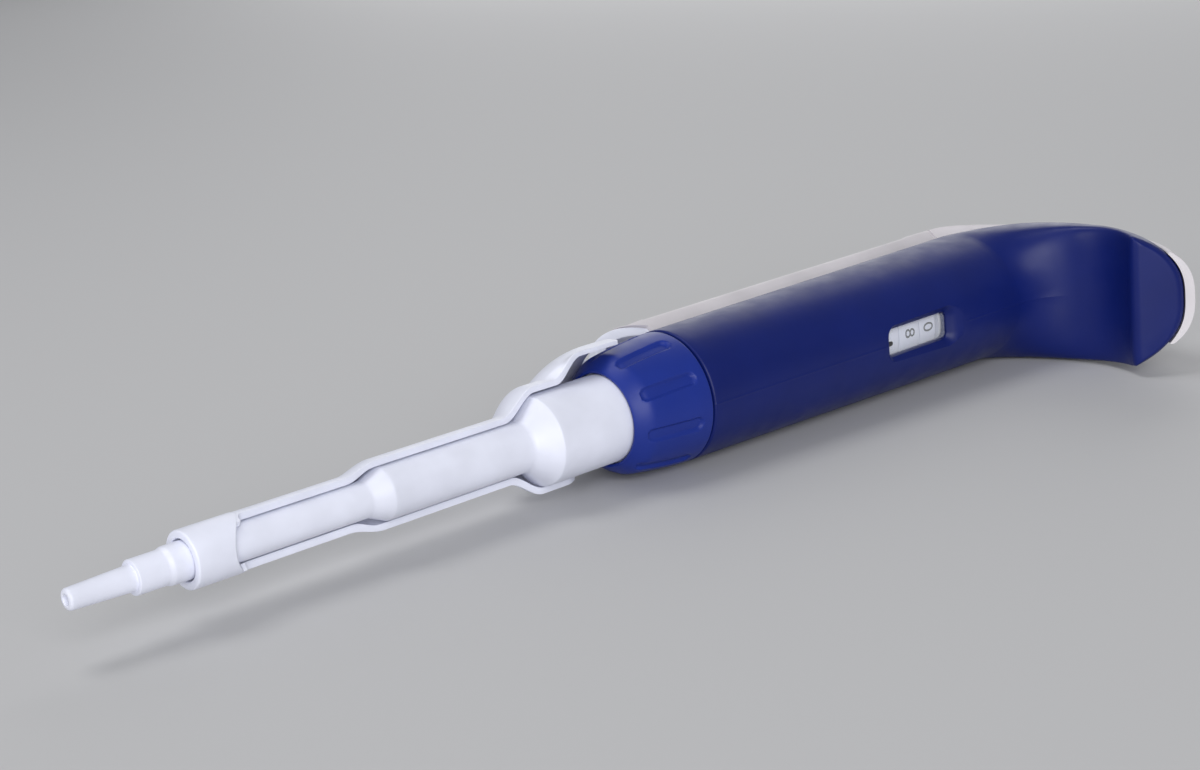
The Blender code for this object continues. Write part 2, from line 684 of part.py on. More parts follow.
def make_ejector_button():
    x = -BAR_FROM_AXIS
    low = Z_EJECT_BUTTON
    high = low + EJECT_BUTTON_HEIGHT
    deep = x - EJECT_BUTTON_DEPTH
    edge = EJECT_BUTTON_ROUND
    outline = [(x, low), (x, high - edge), (x - edge, high), (deep + 0.4 * edge, high - edge),
               (deep, high - 2 * edge), (deep + 0.7 * edge, low)]
    button = slab("ejector_button", outline, EJECT_BUTTON_HALF_WIDTH)
    edges = button.modifiers.new("edges", "BEVEL")
    edges.width = EJECT_BUTTON_BEVEL * MM
    edges.segments = 2
    edges.limit_method = "ANGLE"
    return finish(button, GREY, 0.42)


def arm_profile(radii, skew):
    """Outline of the ejector's half pipe, which swells ahead of each step of the shaft.

    The radii are those along the slim tube, middle tube, barrel and coupling nut. A skew above 0 makes each
    swell start earlier and end later.
    """
    tube, middle, barrel, collar = radii
    made = s_curve((tube, Z_STEP - ARM_STEP_LEAD - skew), (middle, Z_MIDDLE - ARM_STEP_END + skew))
    made += s_curve((middle, Z_SHOULDER - ARM_SHOULDER_LEAD - skew),
                    (barrel, Z_BARREL + ARM_SHOULDER_END + skew), 5)
    made += s_curve((barrel, Z_NUT - ARM_NUT_LEAD - skew), (collar, Z_NUT + ARM_NUT_END + skew), 5)
    return made + [(collar, Z_SPINE - GAP - NOSE_LAP)]


def arm_front_cutter():
    """What is cut from the front of the arm: half the pipe, and more along the narrow strip over the nut."""
    reach = 2 * NUT_TOP_R
    tail_z = Z_BARREL + ARM_NARROWS_FROM_BARREL
    strip_z = tail_z + ARM_TAIL_RISE
    side = [(reach, Z_RING_TOP)]
    side += arc((ARM_CORNER_R - ARM_LIP, Z_RING_TOP + ARM_CORNER_R), ARM_CORNER_R, 270, 180, 4)
    side += arc((-ARM_LIP_END - ARM_TAIL_R, tail_z - ARM_TAIL_R), ARM_TAIL_R, 0, 90, 4)
    side += arc((-ARM_STRIP_X + ARM_STRIP_R, strip_z + ARM_STRIP_R), ARM_STRIP_R, 270, 180, 4)
    side += [(-ARM_STRIP_X, Z_SPINE + OVERRUN), (reach, Z_SPINE + OVERRUN)]
    return slab("arm_front_cutter", side, reach)


def make_ejector_arm():
    """The tip ejector: a ring, a half pipe that follows the shaft and a nose below the back cover."""
    bores = [radius + ARM_CLEAR for radius in (TUBE_R, MIDDLE_R, BARREL_R)] + [NUT_TOP_R + SLIDE_GAP]
    tube, middle, barrel, collar = bores
    inner = [(RING_BORE_R, Z_RING), (RING_BORE_R, Z_RING_TOP - RING_TAPER), (tube, Z_RING_TOP)]
    inner += arm_profile(bores, -ARM_SKEW)
    outer = [(RING_R, Z_RING)]
    outer += arm_profile((RING_R, middle + ARM_WALL, barrel + ARM_WALL, collar + ARM_COLLAR_WALL), ARM_SKEW)
    arm = cut(turned("ejector_arm", inner + outer[::-1], ROUND), arm_front_cutter())
    top = Z_SPINE - GAP
    root = collar - NOSE_ROOT
    steps = 4
    rings = []
    for i in range(steps + 1):
        t = i / steps
        rise = blend(NOSE_START_RISE, SPINE_RISE, math.sin(t * math.pi / 2))
        rings.append(nose_section(top - NOSE_LENGTH + NOSE_SLOPE * t, root, rise))
    rings.append(nose_section(top, root, SPINE_RISE))
    add(arm, lofted("arm_nose", rings))
    notch_top = top - NOSE_NOTCH_FROM_TOP
    reach = 2 * NUT_TOP_R
    cut(arm, box("nose_notch_cutter", (-NOSE_NOTCH_X, -reach, notch_top - NOSE_NOTCH_LENGTH),
                 (reach, reach, notch_top)))
    return finish(arm, WHITE, 0.4)


def nose_section(z, inner_r, rise):
    half = math.radians(SPINE_HALF_DEG)
    back, side = straight_size(Z_SPINE)[1:]
    steps = 10
    angles = [blend(-half, half, i / steps) for i in range(steps + 1)]
    outer = [(-(back + GAP + rise) * math.cos(a), (side + GAP + rise) * math.sin(a), z) for a in angles]
    inner = [(-inner_r * math.cos(a), inner_r * math.sin(a), z) for a in angles[::-1]]
    return outer + inner


def make_shaft():
    floor = Z_BARREL + BARREL_FLOOR
    barrel_bore = BARREL_R - BARREL_WALL
    inner = [
        (NOZZLE_BORE_R, 0), (NOZZLE_BORE_R, NOZZLE_BORE_LENGTH - NOZZLE_BORE_TAPER),
        (PISTON_BORE_R, NOZZLE_BORE_LENGTH), (PISTON_BORE_R, Z_SEAL), (SEAL_BORE_R, Z_SEAL),
        (SEAL_BORE_R, Z_SEAL_TOP), (SPRING_BORE_R, Z_SEAL_TOP), (SPRING_BORE_R, floor), (barrel_bore, floor),
        (barrel_bore, Z_SHAFT_TOP),
    ]
    flange_low = Z_SHAFT_TOP - FLANGE_THICK
    barrel_edge = (BARREL_R, Z_BARREL)
    middle_edge = (MIDDLE_R, Z_SHOULDER)
    step_edge = (MIDDLE_R, Z_MIDDLE)
    tube_edge = (TUBE_R, Z_STEP)
    outer = [(FLANGE_R, Z_SHAFT_TOP), (FLANGE_R, flange_low), (BARREL_R, flange_low)]
    outer += rounded_corner((BARREL_R, flange_low), barrel_edge, middle_edge, BARREL_ROUND)
    outer += rounded_corner(barrel_edge, middle_edge, step_edge, SHOULDER_ROUND)
    outer += rounded_corner(middle_edge, step_edge, tube_edge, STEP_ROUND)
    outer += rounded_corner(step_edge, tube_edge, (TUBE_R, Z_TUBE), STEP_ROUND)
    outer += [(TUBE_R, Z_TUBE), (STOP_R, Z_FLARE), (STOP_R, Z_STOP + STOP_CHAMFER)]
    outer += [(STOP_R - STOP_CHAMFER, Z_STOP), (NOZZLE_TOP_R, Z_STOP)]
    outer += rounded_corner((NOZZLE_TOP_R, Z_STOP), (NOZZLE_END_R, 0), (0, 0), NOZZLE_ROUND)
    return finish(turned("shaft", inner + outer, 32), WHITE, 0.35)


def nut_radius(z):
    """Outer radius of the coupling nut: a rounded nose that runs into a shallow cone."""
    t = (z - Z_NUT) / NUT_LENGTH
    nose = min((z - Z_NUT) / NUT_NOSE_LENGTH, 1.0)
    cone = blend(NUT_LOW_R + NUT_NOSE_RISE, NUT_TOP_R, 1 - (1 - t) ** 1.6)
    return blend(NUT_LOW_R, cone, math.sin(nose * math.pi / 2) ** 0.8)


def make_coupling_nut():
    lip_top = Z_SHAFT_TOP - FLANGE_THICK - GAP
    lip_r = BARREL_R + GAP
    inner = [(lip_r, Z_NUT), (lip_r, lip_top), (NUT_BORE_R, lip_top), (NUT_BORE_R, Z_NUT_TOP)]
    stations = [Z_NUT + NUT_NOSE_LENGTH * i / 5 for i in range(6)]
    stations += [blend(Z_NUT + NUT_NOSE_LENGTH, Z_NUT_TOP - NUT_CHAMFER, i / 5) for i in range(1, 6)]
    outer = [(nut_radius(z), z) for z in stations] + [(NUT_TOP_R - NUT_CHAMFER, Z_NUT_TOP)]
    nut = turned("shaft_coupling_nut", inner + outer[::-1], 45)
    low = Z_NUT + SLOT_FROM_NUT_END
    radius = SLOT_WIDTH / 2
    stadium = arc((0, low + SLOT_LENGTH - radius), radius, 0, 180, 6)
    stadium += arc((0, low + radius), radius, 180, 360, 6)
    slots = bmesh.new()
    for i in range(SLOT_COUNT):
        turn = Matrix.Rotation(math.radians(SLOT_START_DEG + 360 * i / SLOT_COUNT), 3, "Z")
        rows = []
        for lift, share in ((-SLOT_DEPTH, SLOT_FLOOR_SHARE), (SLOT_MOUTH_RISE, SLOT_MOUTH_SHARE)):
            points = [turn @ Vector((nut_radius(z) + lift, y * share, z)) for y, z in stadium]
            rows.append([slots.verts.new(point) for point in points])
        count = len(stadium)
        for k in range(count):
            m = (k + 1) % count
            slots.faces.new((rows[0][k], rows[0][m], rows[1][m], rows[1][k]))
        slots.faces.new(rows[0])
        slots.faces.new(rows[1])
    cut(nut, from_bmesh("nut_slot_cutter", slots))
    return finish(nut, BLUE, 0.34)


def make_handle_base():
    """The threaded neck that closes the handle's lower end and takes the coupling nut."""
    neck_low = Z_SHAFT_TOP + GAP
    rod = ROD_R + SLIDE_GAP
    neck_bore = BARREL_R - BARREL_WALL
    plate_low = Z_NUT_TOP - BASE_DROP
    outline = [
        (rod, plate_low), (rod, Z_BASE_TOP), (BORE_R - GAP, Z_BASE_TOP), (BORE_R - GAP, Z_SEAM + GAP),
        (NUT_BORE_R - GAP, Z_SEAM + GAP), (NUT_BORE_R - GAP, neck_low), (neck_bore, neck_low),
        (neck_bore, plate_low),
    ]
    return finish(turned("handle_base", outline, 28), WHITE, 0.4)


def make_seals():
    """An O-ring and a seal round the piston, held down by a retainer that the piston spring stands on."""
    low = Z_SEAL + GAP
    cord = (SEAL_BORE_R - PISTON_R) / 2 - GAP
    ring = arc(((PISTON_R + SEAL_BORE_R) / 2, low + cord), cord, 0, 330, 11)
    finish(turned("o_ring", ring, ROUND_SMALL), BLACK, 0.6)
    low += 2 * cord + GAP
    bore = PISTON_R + GAP
    outer = SEAL_BORE_R - GAP
    finish(sleeve("piston_seal", bore, outer, low, low + SEAL_LENGTH), WHITE, 0.5)
    low += SEAL_LENGTH + GAP
    flange_low = Z_SEAL_TOP + GAP
    flange_r = SPRING_BORE_R - GAP
    retainer = [(bore, low), (outer, low), (outer, flange_low), (flange_r, flange_low),
                (flange_r, flange_low + RETAINER_FLANGE), (bore, flange_low + RETAINER_FLANGE)]
    finish(turned("seal_retainer", retainer, ROUND_SMALL), STEEL, 0.3, 1.0)


def make_piston():
    """The piston, its head and the spring that lifts them."""
    low = Z_PISTON_HEAD - PISTON_HEAD_LENGTH
    end = NOZZLE_BORE_LENGTH + PRESS + VOLUME_DOWN + GAP
    pin_top = low + PISTON_SEAT
    finish(sleeve("piston", 0, PISTON_R, end, pin_top, 12), STEEL, 0.2, 1.0)
    head = [(PISTON_R + GAP, low), (PISTON_HEAD_R, low), (PISTON_HEAD_R, Z_PISTON_HEAD), (0, Z_PISTON_HEAD),
            (0, pin_top + GAP), (PISTON_R + GAP, pin_top + GAP)]
    finish(turned("piston_head", head, ROUND_SMALL), WHITE, 0.45)
    spring_low = Z_SEAL_TOP + RETAINER_FLANGE + 2 * GAP
    finish(coil("piston_spring", PISTON_SPRING, spring_low, low - GAP), STEEL, 0.3, 1.0)


def make_plunger():
    """The plunger's rod, stop collar, thumb button and cap, and the spring under the collar."""
    top = Z_BUTTON + BUTTON_HEIGHT
    seat = top - CAP_THICK
    rod_top = seat - ROD_BELOW_CAP
    finish(sleeve("plunger_rod", 0, ROD_R, Z_PISTON_HEAD + GAP, rod_top, ROUND_SMALL), STEEL, 0.22, 1.0)
    collar_top = Z_STOP_NUT - GAP
    collar_low = collar_top - STOP_COLLAR_LENGTH
    finish(sleeve("stop_collar", ROD_R + GAP, STOP_COLLAR_R, collar_low, collar_top), STEEL, 0.3, 1.0)
    spring = coil("blow_out_spring", BLOW_OUT_SPRING, Z_BASE_TOP + GAP, collar_low - FIRST_STOP)
    finish(spring, STEEL, 0.3, 1.0)
    outline = [(ROD_R + GAP, Z_BUTTON), (BUTTON_R - BUTTON_CHAMFER, Z_BUTTON)]
    outline += [(BUTTON_R, Z_BUTTON + BUTTON_CHAMFER)]
    outline += arc((BUTTON_R - BUTTON_ROUND, top - BUTTON_ROUND), BUTTON_ROUND, 0, 90, 3)
    outline += [(CAP_R + GAP, top), (CAP_R + GAP, seat - GAP), (0, seat - GAP), (0, rod_top + GAP),
                (ROD_R + GAP, rod_top + GAP)]
    finish(turned("plunger_button", outline, 28), WHITE, 0.4)
    cap_top = top + CAP_PROUD
    cap = [(0, seat), (CAP_R, seat), (CAP_R, cap_top - CAP_CHAMFER), (CAP_R - CAP_CHAMFER, cap_top),
           (0, cap_top)]
    finish(turned("button_cap", cap, 28), CREAM, 0.4)


def make_volume_drive():
    """Knob, screw and the lowest counter ring, which turn together, and the nut that they move."""
    finish(sleeve("volume_screw", ROD_R + SLIDE_GAP, SCREW_R, Z_SCREW, Z_KNOB - GAP), STEEL, 0.35, 1.0)
    rings = []
    flute_low = Z_HEAD + COVER_THICK + KNOB_FLUTES_ABOVE_COVER
    levels = [(Z_KNOB, KNOB_R, 0), (flute_low, KNOB_R, 0), (flute_low + KNOB_CHAMFER, KNOB_R, 1),
              (Z_KNOB_TOP - KNOB_CHAMFER, KNOB_R, 1), (Z_KNOB_TOP, KNOB_R - KNOB_CHAMFER, 0.5)]
    for z, radius, depth in levels:
        ring = []
        count = KNOB_FLUTES * 3
        for i in range(count):
            dip = depth * KNOB_FLUTE_DEPTH if i % 3 == 0 else 0.0
            turn = TAU * i / count
            ring.append(((radius - dip) * math.cos(turn), (radius - dip) * math.sin(turn), z))
        rings.append(ring)
    knob = lofted("volume_knob", rings)
    well = [(0, Z_KNOB - OVERRUN), (ROD_R + SLIDE_GAP, Z_KNOB - OVERRUN), (ROD_R + SLIDE_GAP, Z_KNOB_FLOOR),
            (BUTTON_R + SLIDE_GAP, Z_KNOB_FLOOR), (BUTTON_R + SLIDE_GAP, Z_KNOB_TOP + OVERRUN),
            (0, Z_KNOB_TOP + OVERRUN)]
    cut(knob, turned("knob_well_cutter", well, 28))
    finish(knob, WHITE, 0.42)
    nut = turned("stop_nut", [
        (ROD_R + SLIDE_GAP, Z_STOP_NUT), (STOP_NUT_R, Z_STOP_NUT), (STOP_NUT_R, Z_STOP_NUT_TOP),
        (SCREW_R + GAP, Z_STOP_NUT_TOP), (SCREW_R + GAP, Z_STOP_NUT + STOP_NUT_FLOOR),
        (ROD_R + SLIDE_GAP, Z_STOP_NUT + STOP_NUT_FLOOR)], ROUND_SMALL)
    half = KEY_WIDTH / 2 - SLIDE_GAP
    reach = STOP_NUT_R + KEY_DEPTH
    key_low = Z_STOP_NUT + KEY_FROM
    key_high = key_low + KEY_LENGTH
    for side in (-1, 1):
        ends = sorted((side * (STOP_NUT_R - KEY_ROOT), side * reach))
        add(nut, box("stop_nut_key", (ends[0], -half, key_low), (ends[1], half, key_high)))
    finish(nut, CREAM, 0.4)
    guide_low = Z_STOP_NUT - VOLUME_DOWN - GUIDE_FOOT
    guide_top = Z_STOP_NUT_TOP + VOLUME_UP
    guide = sleeve("stop_guide", STOP_NUT_R + SLIDE_GAP, BORE_R - GAP, guide_low, guide_top, 28)
    cut(guide, box("keyway_cutter", (-(reach + SLIDE_GAP), -KEY_WIDTH / 2, guide_low + GUIDE_FOOT),
                   (reach + SLIDE_GAP, KEY_WIDTH / 2, key_high + VOLUME_UP + GAP)))
    finish(guide, WHITE, 0.45)


def make_counter():
    """Three number rings round the axis, and the frame that the upper two turn on."""
    ring_length = RING_PITCH - GAP
    low = Z_COUNTER
    hub = SCREW_R + GAP
    fine = [(hub, low), (COUNTER_R, low), (COUNTER_R, low + ring_length), (COUNTER_BORE_R, low + ring_length),
            (COUNTER_BORE_R, low + COUNTER_WEB), (hub, low + COUNTER_WEB)]
    finish(turned("fine_ring", fine), WHITE, 0.4)
    for i, name in ((1, "units_ring"), (2, "tens_ring")):
        start = low + RING_PITCH * i
        end = start + ring_length - (TENS_SHORT if i == 2 else 0)
        finish(sleeve(name, COUNTER_BORE_R, COUNTER_R, start, end, ROUND), WHITE, 0.4)
    flange_low = end + COUNTER_CLEAR
    inner = SCREW_R + SLIDE_GAP
    sleeve_r = COUNTER_BORE_R - GAP
    frame = [(inner, low + RING_PITCH), (sleeve_r, low + RING_PITCH), (sleeve_r, flange_low),
             (BORE_R - GAP, flange_low), (BORE_R - GAP, Z_BORE_TOP - GAP), (inner, Z_BORE_TOP - GAP)]
    finish(turned("counter_frame", frame, 28), WHITE, 0.45)
    bush_low = Z_BORE_TOP + BUSH_FROM_BORE
    bush = sleeve("screw_bush", SCREW_R + GAP, NECK_BORE_R - GAP, bush_low, bush_low + BUSH_LENGTH)
    finish(bush, CREAM, 0.4)


def lie_down():
    """Lays the pipette on its side, hook to the front, as it comes to rest on a bench.

    Of all the flat stands of its convex outline, the one under its middle whose down direction is
    nearest to the pipette's left flank is the side it lies on.
    """
    bpy.context.view_layer.update()
    graph = bpy.context.evaluated_depsgraph_get()
    cloud = bmesh.new()
    weight = 0.0
    moment = Vector()
    for obj in PIPETTE.children:
        if obj.hide_render:
            continue
        evaluated = obj.evaluated_get(graph)
        mesh = evaluated.to_mesh()
        mesh.calc_loop_triangles()
        for triangle in mesh.loop_triangles:
            a, b, c = (mesh.vertices[i].co for i in triangle.vertices)
            volume = a.dot(b.cross(c)) / 6
            weight += volume
            moment += (a + b + c) / 4 * volume
        cloud.from_mesh(mesh)
        evaluated.to_mesh_clear()
    middle = moment / weight
    hull = bmesh.ops.convex_hull(cloud, input=cloud.verts, use_existing_faces=False)
    stands = [face for face in hull["geom"] if isinstance(face, bmesh.types.BMFace)]
    down = None
    for face in stands:
        face.normal_update()
        normal = face.normal
        corners = [vert.co for vert in face.verts]
        foot = middle + normal * (corners[0] - middle).dot(normal)
        sides = zip(corners, corners[1:] + corners[:1])
        inside = all((b - a).cross(foot - a).dot(normal) >= 0 for a, b in sides)
        if inside and (down is None or normal.y > down[0].y):
            down = (normal.copy(), (corners[0] - middle).dot(normal))
    cloud.free()
    up = -down[0]
    ahead = Vector((0, 0, 1))
    ahead = (ahead - up * ahead.dot(up)).normalized()
    turn = Matrix((ahead, up.cross(ahead), up)).to_4x4()
    PIPETTE.matrix_world = turn
    bpy.context.view_layer.update()
    corners = [turn @ vert for obj in PIPETTE.children if not obj.hide_render
               for vert in (v.co for v in obj.evaluated_get(graph).to_mesh().vertices)]
    low = [min(point[i] for point in corners) for i in range(3)]
    high = [max(point[i] for point in corners) for i in range(3)]
    shift = Vector((-(low[0] + high[0]) / 2, -(low[1] + high[1]) / 2, -low[2]))
    PIPETTE.matrix_world = Matrix.Translation(shift) @ turn


for old in list(bpy.data.objects):
    bpy.data.objects.remove(old)

PIPETTE = bpy.data.objects.new("pipette_frame", None)
bpy.context.scene.collection.objects.link(PIPETTE)

make_handle()
make_window_lens()
make_top_cover()
make_back_cover()
make_ejector_bar()
make_ejector_spring()
make_ejector_button()
make_ejector_arm()
make_shaft()
make_coupling_nut()
make_handle_base()
make_seals()
make_piston()
make_plunger()
make_volume_drive()
make_counter()
lie_down()
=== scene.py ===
"""The looks of a single-channel micropipette that lies on its side on a pale studio floor.

Sizes are in millimetres in the pipette's own frame: the nozzle's end is at the origin, +Z runs up the
plunger axis and +X points to the front, the side of the finger hook.
"""
import json
import math

import bmesh
import bpy
from mathutils import Matrix, Vector


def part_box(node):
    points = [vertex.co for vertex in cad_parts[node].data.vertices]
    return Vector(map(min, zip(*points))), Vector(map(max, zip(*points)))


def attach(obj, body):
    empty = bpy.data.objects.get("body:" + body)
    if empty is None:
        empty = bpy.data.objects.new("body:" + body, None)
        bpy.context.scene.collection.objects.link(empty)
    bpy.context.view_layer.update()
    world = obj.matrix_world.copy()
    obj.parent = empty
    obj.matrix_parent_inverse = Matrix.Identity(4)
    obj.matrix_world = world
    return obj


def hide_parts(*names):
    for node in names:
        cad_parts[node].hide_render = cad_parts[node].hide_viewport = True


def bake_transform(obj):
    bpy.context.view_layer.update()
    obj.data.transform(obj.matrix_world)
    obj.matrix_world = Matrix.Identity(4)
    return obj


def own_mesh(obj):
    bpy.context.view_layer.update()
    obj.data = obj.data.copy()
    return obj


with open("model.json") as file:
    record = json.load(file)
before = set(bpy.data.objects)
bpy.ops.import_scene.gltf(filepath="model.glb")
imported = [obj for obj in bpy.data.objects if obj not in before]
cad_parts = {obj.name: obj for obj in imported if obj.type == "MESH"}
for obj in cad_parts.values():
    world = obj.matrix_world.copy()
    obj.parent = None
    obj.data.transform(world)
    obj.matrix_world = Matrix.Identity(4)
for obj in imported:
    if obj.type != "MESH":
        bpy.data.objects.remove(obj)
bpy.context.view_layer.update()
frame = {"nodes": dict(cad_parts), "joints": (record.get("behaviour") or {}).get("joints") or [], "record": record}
MM = 0.001
TAU = 2 * math.pi

# Picture and camera, in the pipette's frame
IMAGE_WIDTH = 1200
FOCAL_PX = 2000
SENSOR_MM = 36.0
CAMERA_PLACE = (260.5, -94.8, -123.9)
CAMERA_TARGET = (-0.1, -6.2, 108.1)
CAMERA_ROLL_DEG = -2.73

# Stage, in metres and watts in the scene's frame
FLOOR_HALF = 3.0
FLOOR_COLOUR = (0.54, 0.54, 0.55, 1)
FLOOR_ROUGHNESS = 0.7
WORLD_COLOUR = (0.85, 0.87, 0.9, 1)
WORLD_STRENGTH = 0.26
LIGHTS = {  # place, size and power
    "key": ((-0.25, 0.3, 0.9), 0.5, 2.4),
    "fill": ((-0.8, -1.28, 0.64), 1.44, 21.0),
    "back": ((0.95, 0.75, 0.45), 1.2, 4.6),
    "left": ((-1.1, 0.15, 0.3), 0.35, 2.2),
}

# Clearances
GAP = 0.3
SLIDE_GAP = 0.4

# Shaft
NOZZLE_END_R = 1.75
NOZZLE_TOP_R = 2.12
NOZZLE_ROUND = 0.6
NOZZLE_BORE_R = 0.6
NOZZLE_MOUTH_R = 0.95
NOZZLE_MOUTH = 1.2
NOZZLE_BORE_LENGTH = 14.5
PISTON_BORE_R = 1.1
SEAL_BORE_R = 2.7
SPRING_BORE_R = 3.6
STOP_R = 2.86
TUBE_R = 3.16
MIDDLE_R = 4.65
BARREL_R = 8.2
BARREL_BORE_R = 6.6
FLANGE_R = 9.2
FLANGE_THICK = 2.6

# Shaft coupling nut
NUT_LENGTH = 16.6
NUT_LIP_R = 8.5
NUT_LOW_R = 8.9
NUT_TOP_R = 12.5
NUT_BORE_R = 9.6
NUT_NOSE_LENGTH = 3.6
NUT_NOSE_RISE = 1.75
NUT_ROUND = 0.35
NUT_CONE_POWER = 1.6  # how early the cone widens
NUT_NOSE_POWER = 0.8  # how blunt the nose is
NUT_FACETS = 360
SLOT_COUNT = 9
SLOT_START_DEG = 12.0
SLOT_LENGTH = 12.6
SLOT_WIDTH = 2.9
SLOT_DEPTH = 0.6
SLOT_SIDE = 0.6  # how far in from its edge a slot reaches its full depth
SLOT_FROM_NUT_END = 1.7

# Handle and hook
HANDLE_LENGTH = 89.2
HANDLE_FRONT = (12.35, 14.8)
HANDLE_BACK = (12.5, 13.3)
HANDLE_SIDE = (12.6, 13.7)
HANDLE_FRONT_CURVE = 0.4  # share of the front's taper that is eased
HANDLE_EDGE_R = 0.5
FINGER_R = 12.7
HOOK_SWEEP_DEG = 130.7
HOOK_THICK = 11.2
HOOK_EDGE_R = 2.1
HOOK_OVERHANG = 0.9  # how far the rounded end reaches past the last section
HOOK_WIDEST = 1.0
HOOK_FRONT_SQUARE = 5.0
HOOK_BACK_SQUARE = 2.9
HOOK_BULGE = 0.8
HOOK_TAPER = 0.34
HOOK_FROM = 0.45  # share of the head's sweep after which its back turns into the hook's
HEAD_RISE = 26.4
HEAD_CORNER = 9.0
HEAD_LEAN = 0.2  # how far the back leans out below the corner
HEAD_CROWN = 0.2
HEAD_FALL = 2.9  # how far the head falls above the hook's curve
BORE_R = 11.0
NECK_BORE_R = 8.4
PARTING_HEIGHT = 0.05  # raised line along the front where the mould's halves meet
PARTING_HALF_WIDTH = 0.16
PARTING_SHOULDER = 0.7  # share of its height half way to its edge
PARTING_FADE = 0.5  # share of the head's sweep over which it fades
OVERRUN = 5.0  # how far a cutter reaches past what it cuts

# Covers
COVER_THICK = 2.0
COVER_GAP = 0.08
COVER_FROM = 0.09
COVER_THIN_FROM = 0.4
COVER_START_DEG = 36.3  # in the head's own section, level with the spine's edge
COVER_EDGE_DEG = 56.0
COVER_EDGE_SHARE = 0.3  # thickness towards the edges as a share of the middle's
COVER_ROUND_FROM = (0.975, 0.93)  # share of the width where its edges round off, by the spine and beyond
COVER_ROUND_LEFT = (0.9, 0.25)  # share of the thickness left at the edges there
COVER_SEAM = 0.12  # gap between the two covers, and between hood and nose
SPINE_RISE = 5.4
SPINE_HALF_DEG = 39.0
SPINE_HEAD_GAP = 0.25
HOOD_WALL = 0.15
HOOD_HALF_DEG = 36.5
SPINE_EDGE_DEPTH = 0.3  # rounding of the edges as a share of half the wall
BAR_HALF_WIDTH = 4.0
BAR_THICK = 2.2
BAR_FROM_AXIS = 14.1

# Ejector arm
RING_BORE_R = 3.46
RING_R = 4.83
RING_SCOOP = 3.3  # how far the ring's upper end dips at the front
RING_BACK_RISE = 0.55
RING_OVERLAP = 0.8  # how far down in the ring the half pipe starts
ARM_INSET = 0.1  # how far the half pipe lies below the ring's outside
ARM_CLEAR = 0.26
ARM_UPPER_CLEAR = 0.4  # how much further off the barrel the upper edge lies
ARM_UPPER_TURN = 1.2  # radians over which that grows
ARM_UPPER_FROM = 0.3  # share of that turn from the back to where it starts
ARM_WALL = 1.2
ARM_LIP = -0.6  # how far behind the axis the edges lie; in front of it below 0
ARM_CORNER_R = 1.5
ARM_STRIP_X = 9.0  # how far behind the axis the lower edge lies beside the nut
ARM_EDGE_DEPTH = 0.35  # rounding of the edges as a share of half the wall
COLLAR_R = 12.75  # inside of the collar over the nut
COLLAR_WALL = 0.85
COLLAR_END = 0.4  # length of the upper edge's square end
SWELL_EDGE = 6.0  # length of the swell up to the collar, at the edges and behind them
SWELL_BACK = 13.0
SWELL_DEG = 8.0  # turn over which the edge's swell runs into the back's
SWELL_LATE = 3.0  # how much later the lower side swells
SWELL_LATE_TURN = 0.8  # radians from the back to where that delay is full
SWELL_INSIDE = (9.75, 10.9)  # how far below the nut the inside swells, at the edges and behind them
SWELL_OUTSIDE = (10.6, 11.8)
TAIL_LENGTH = 4.6  # rounded end of the lower edge, beside the barrel
TAIL_DEPTH = 6.0
STRIP_RUN = 5.0  # length over which the lower edge runs back above the tail
NOSE_LENGTH = 15.8
NOSE_HALF_DEG = 37.0
NOSE_START = 2.0  # length over which the nose rises out of the strip
NOSE_RISE = 5.45
NOSE_CURVE = 0.038  # how fast the nose falls off to both ends
NOSE_SKIN = 2.4
NOSE_HOLLOW = 5.0  # length over which the nose becomes a hollow shell

# Counter
WINDOW_LENGTH = 18.5
WINDOW_HALF_WIDTH = 2.85
WINDOW_CORNER_R = 1.3
WINDOW_FLARE = ((0.0, 0.0), (0.9, 0.85), (1.25, 1.3), (1.6, 2.0), (2.0, 3.2), (2.6, 6.0))  # rise, growth
LENS_THICK = 0.9
LENS_FROM_AXIS = 11.25
LENS_SINK = 0.15
LENS_EDGE = 0.15
RING_PITCH = 6.5
COUNTER_R = 10.5
COUNTER_BORE_R = 8.6
COUNTER_WEB = 2.0
TENS_SHORT = 1.3
SCREW_R = 4.8
NUMBER_COUNT = 10
NUMBER_STEP_DEG = 36.0
NUMBER_HEIGHT = 3.0
NUMBER_SHARE = 0.7  # a number's height as a share of its font's size
NUMBER_WEIGHT = -0.01  # how much the strokes are thickened, or thinned below 0
NUMBER_ROLL_DEG = -0.5  # how far the shown numbers stand off the middle of the window
INK = 0.03  # thickness of the print
MARK_LOW = 2.0
MARK_HIGH = 3.4
MARK_HALF_WIDTH = 0.18
MARK_ROOT = 0.1
MARK_START_DEG = 5.0
POINTER_HALF_WIDTH = 0.5
POINTER_ROUND = 0.45
POINTER_LOW = 0.2  # how far it reaches below the window's end
POINTER_HIGH = 1.0
POINTER_ASIDE = 0.1
POINTER_THICK = 0.12

# Knob, button and ejector button
ROD_R = 2.0
KNOB_R = 8.0
KNOB_FLUTES = 24
KNOB_FLUTE_DEPTH = 0.4
KNOB_FLUTE_FROM_COVER = 1.0
KNOB_FLUTE_RUN = 0.8  # length over which a flute reaches its full depth
KNOB_FLOOR = 3.0
KNOB_CHAMFER = 0.3
KNOB_ROUND = 0.6
BUTTON_R = 5.8
BUTTON_ROUND = 1.2
CAP_R = 4.4
CAP_THICK = 1.2
CAP_PROUD = 0.1
ROD_BELOW_CAP = 2.6
EJECT_BUTTON_HEIGHT = 8.0
EJECT_BUTTON_HALF_WIDTH = 5.8
EJECT_BUTTON_DEPTH = 6.6
EJECT_BUTTON_ROUND = 1.5
EJECT_BUTTON_BEVEL = 0.9

